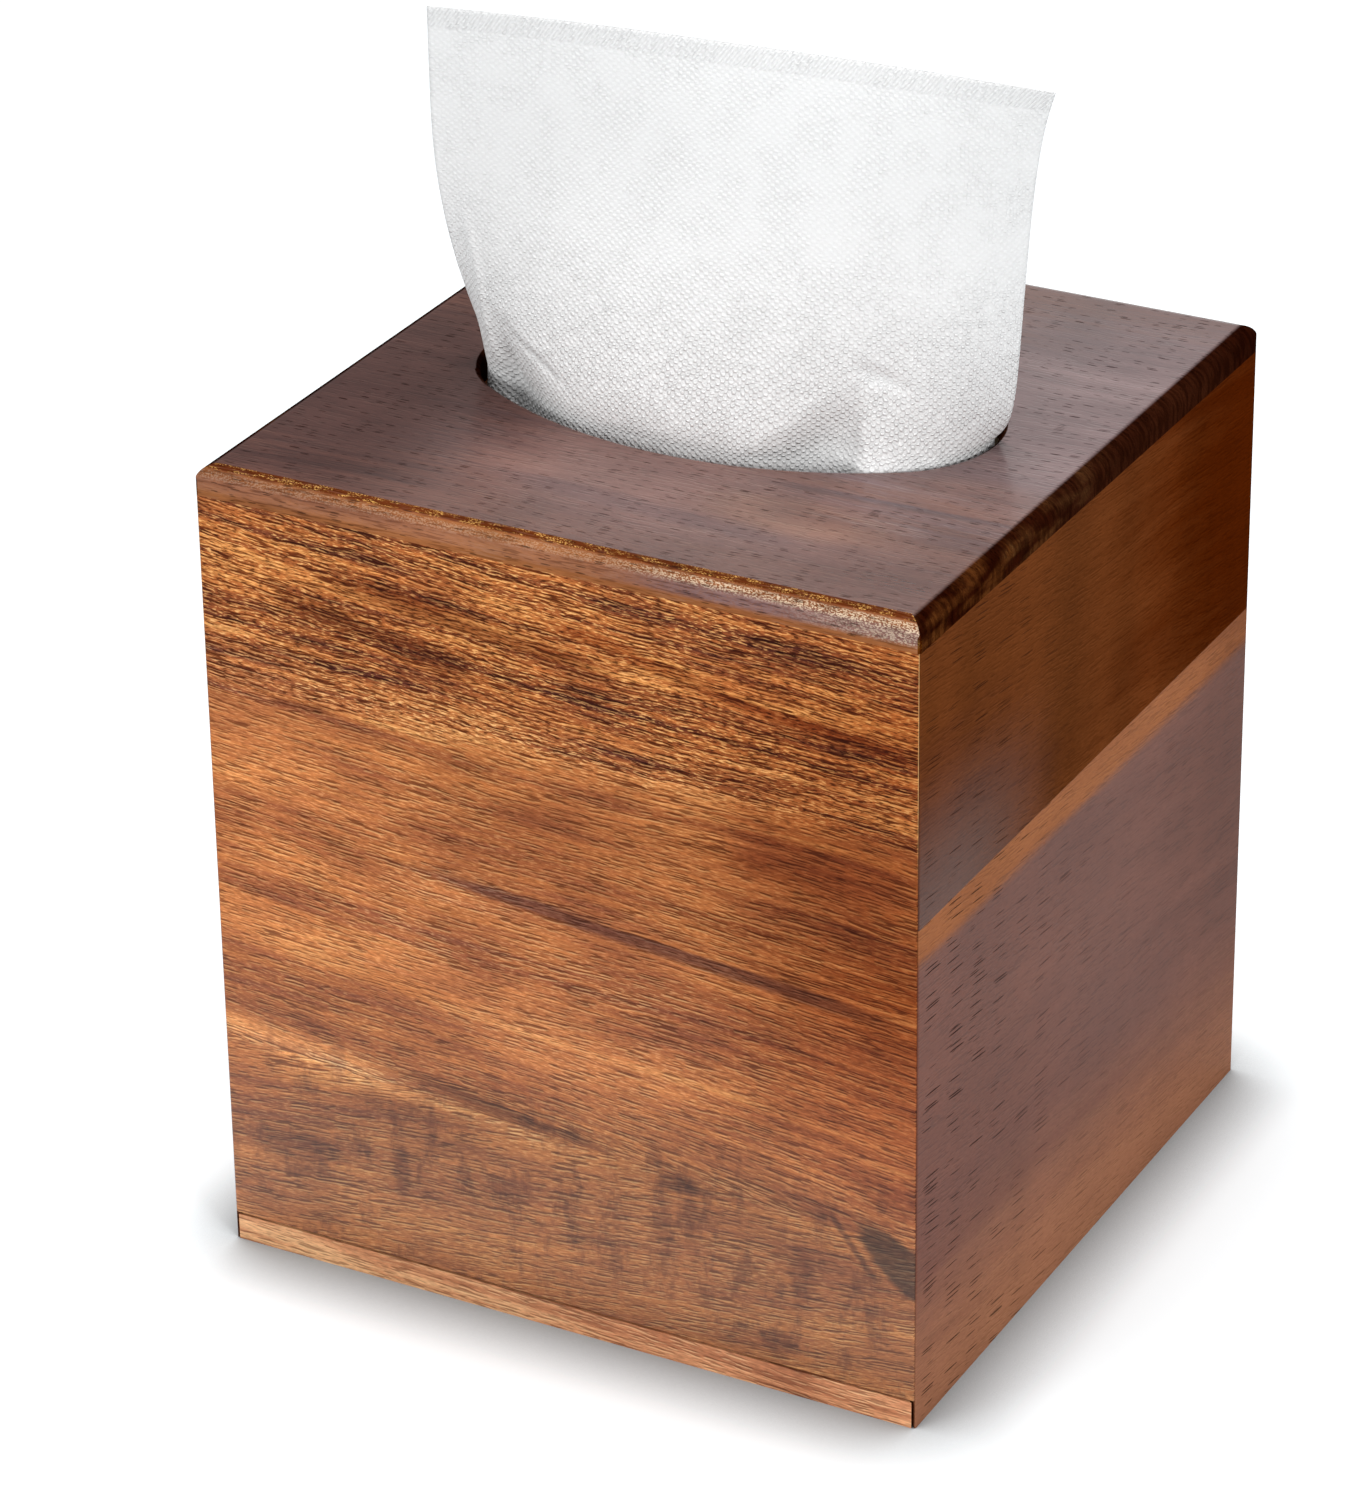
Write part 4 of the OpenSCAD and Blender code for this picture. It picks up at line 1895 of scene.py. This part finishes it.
@dataclass
class Studio:
    """A plain pale floor under soft light, white all round as the camera and glossy surfaces see it."""

    floor_size: float = 14
    floor_cells: int = 8
    floor_tone: Colour = (0.79, 0.83, 0.85)
    floor_lift: float = 0.34
    far_lift: float = 0.64
    far_from: Place = (0.6, 3)
    foot_shade: float = 0.018
    shade_samples: int = 12
    shade_power: float = 1.6
    sky: float = 0.45
    lamps: tuple[Lamp, ...] = (
        Lamp("key_light", (1.5, -0.9, 0.7), size=0.5, power=13),
        Lamp("fill_light", (-1, -1.68, 0.5), size=0.7, power=13.4),
        Lamp("top_light", (-0.1, 0.1, 1.6), size=0.7, power=14),
    )

    @staticmethod
    def seen_white(graph: Graph) -> Signal:
        """Finds the rays that see the white surroundings: camera, glossy and transmission rays.

        Args:
            graph: The graph to add it to.

        Returns:
            1 for such a ray, and 0 for any other.
        """
        camera = graph.add("LightPath", output="Is Camera Ray")
        outputs = camera.socket.node.outputs
        glossy, through = (Signal(graph, outputs[f"Is {kind} Ray"]) for kind in ("Glossy", "Transmission"))
        return graph.math("MINIMUM", camera + glossy + through, 1)

    def build_floor(self) -> None:
        """Adds the floor: pale and matte, lifted to white where no shadow falls, and darkened by painted
        shade near the object.
        """
        Bench.deselect()
        bpy.ops.mesh.primitive_grid_add(
            x_subdivisions=self.floor_cells, y_subdivisions=self.floor_cells, size=self.floor_size)
        floor = Bench.take("studio_floor")
        graph = Graph(bpy.data.materials.new("studio_floor"))
        settings, inputs = {"samples": self.shade_samples}, {"Distance": self.foot_shade}
        # painted shade: ambient occlusion darkens the floor's colour and lift near the object
        clear = graph.add("AmbientOcclusion", settings, inputs, output="AO") ** self.shade_power
        east, north, _ = graph.parts(graph.add("TexCoord", output="Object"))
        away = (east * east + north * north).root().rise(*self.far_from)
        lift = self.floor_lift + away * (self.far_lift - self.floor_lift)
        matte = graph.add("BsdfDiffuse", inputs={"Color": graph.mix(clear, grey(0), self.floor_tone)})
        strength = self.seen_white(graph) * clear * lift
        glow = graph.add("Emission", inputs={"Color": grey(1), "Strength": strength})
        graph.close(graph.add("AddShader", inputs={0: matte, 1: glow}))
        dress(floor, graph.owner)

    def build_sky(self) -> None:
        """Sets the world: soft white light, and plain white where it is seen."""
        bpy.context.scene.world = bpy.data.worlds.new("studio")
        graph = Graph(bpy.context.scene.world)
        lit, seen = (graph.add("Background", inputs={"Color": grey(1), "Strength": strength})
                     for strength in (self.sky, 1))
        mixed = graph.add("MixShader", inputs={0: self.seen_white(graph), 1: lit, 2: seen})
        graph.close(mixed, "World")

    def build(self) -> None:
        """Builds the floor, the sky and the lamps, with the plain view transform."""
        self.build_floor()
        self.build_sky()
        for lamp in self.lamps:
            lamp.build()
        bpy.context.scene.view_settings.view_transform = "Standard"


def main() -> None:
    """Builds the dressed model in order, and the studio round it."""
    logging.basicConfig(level=logging.INFO, format="%(name)s: %(message)s")
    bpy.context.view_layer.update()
    PhotoCamera().build()
    Cover().build()
    Carton().build()
    FoldedTissues().build()
    StandingTissue().build()
    Studio().build()


if __name__ == "__main__":
    main()
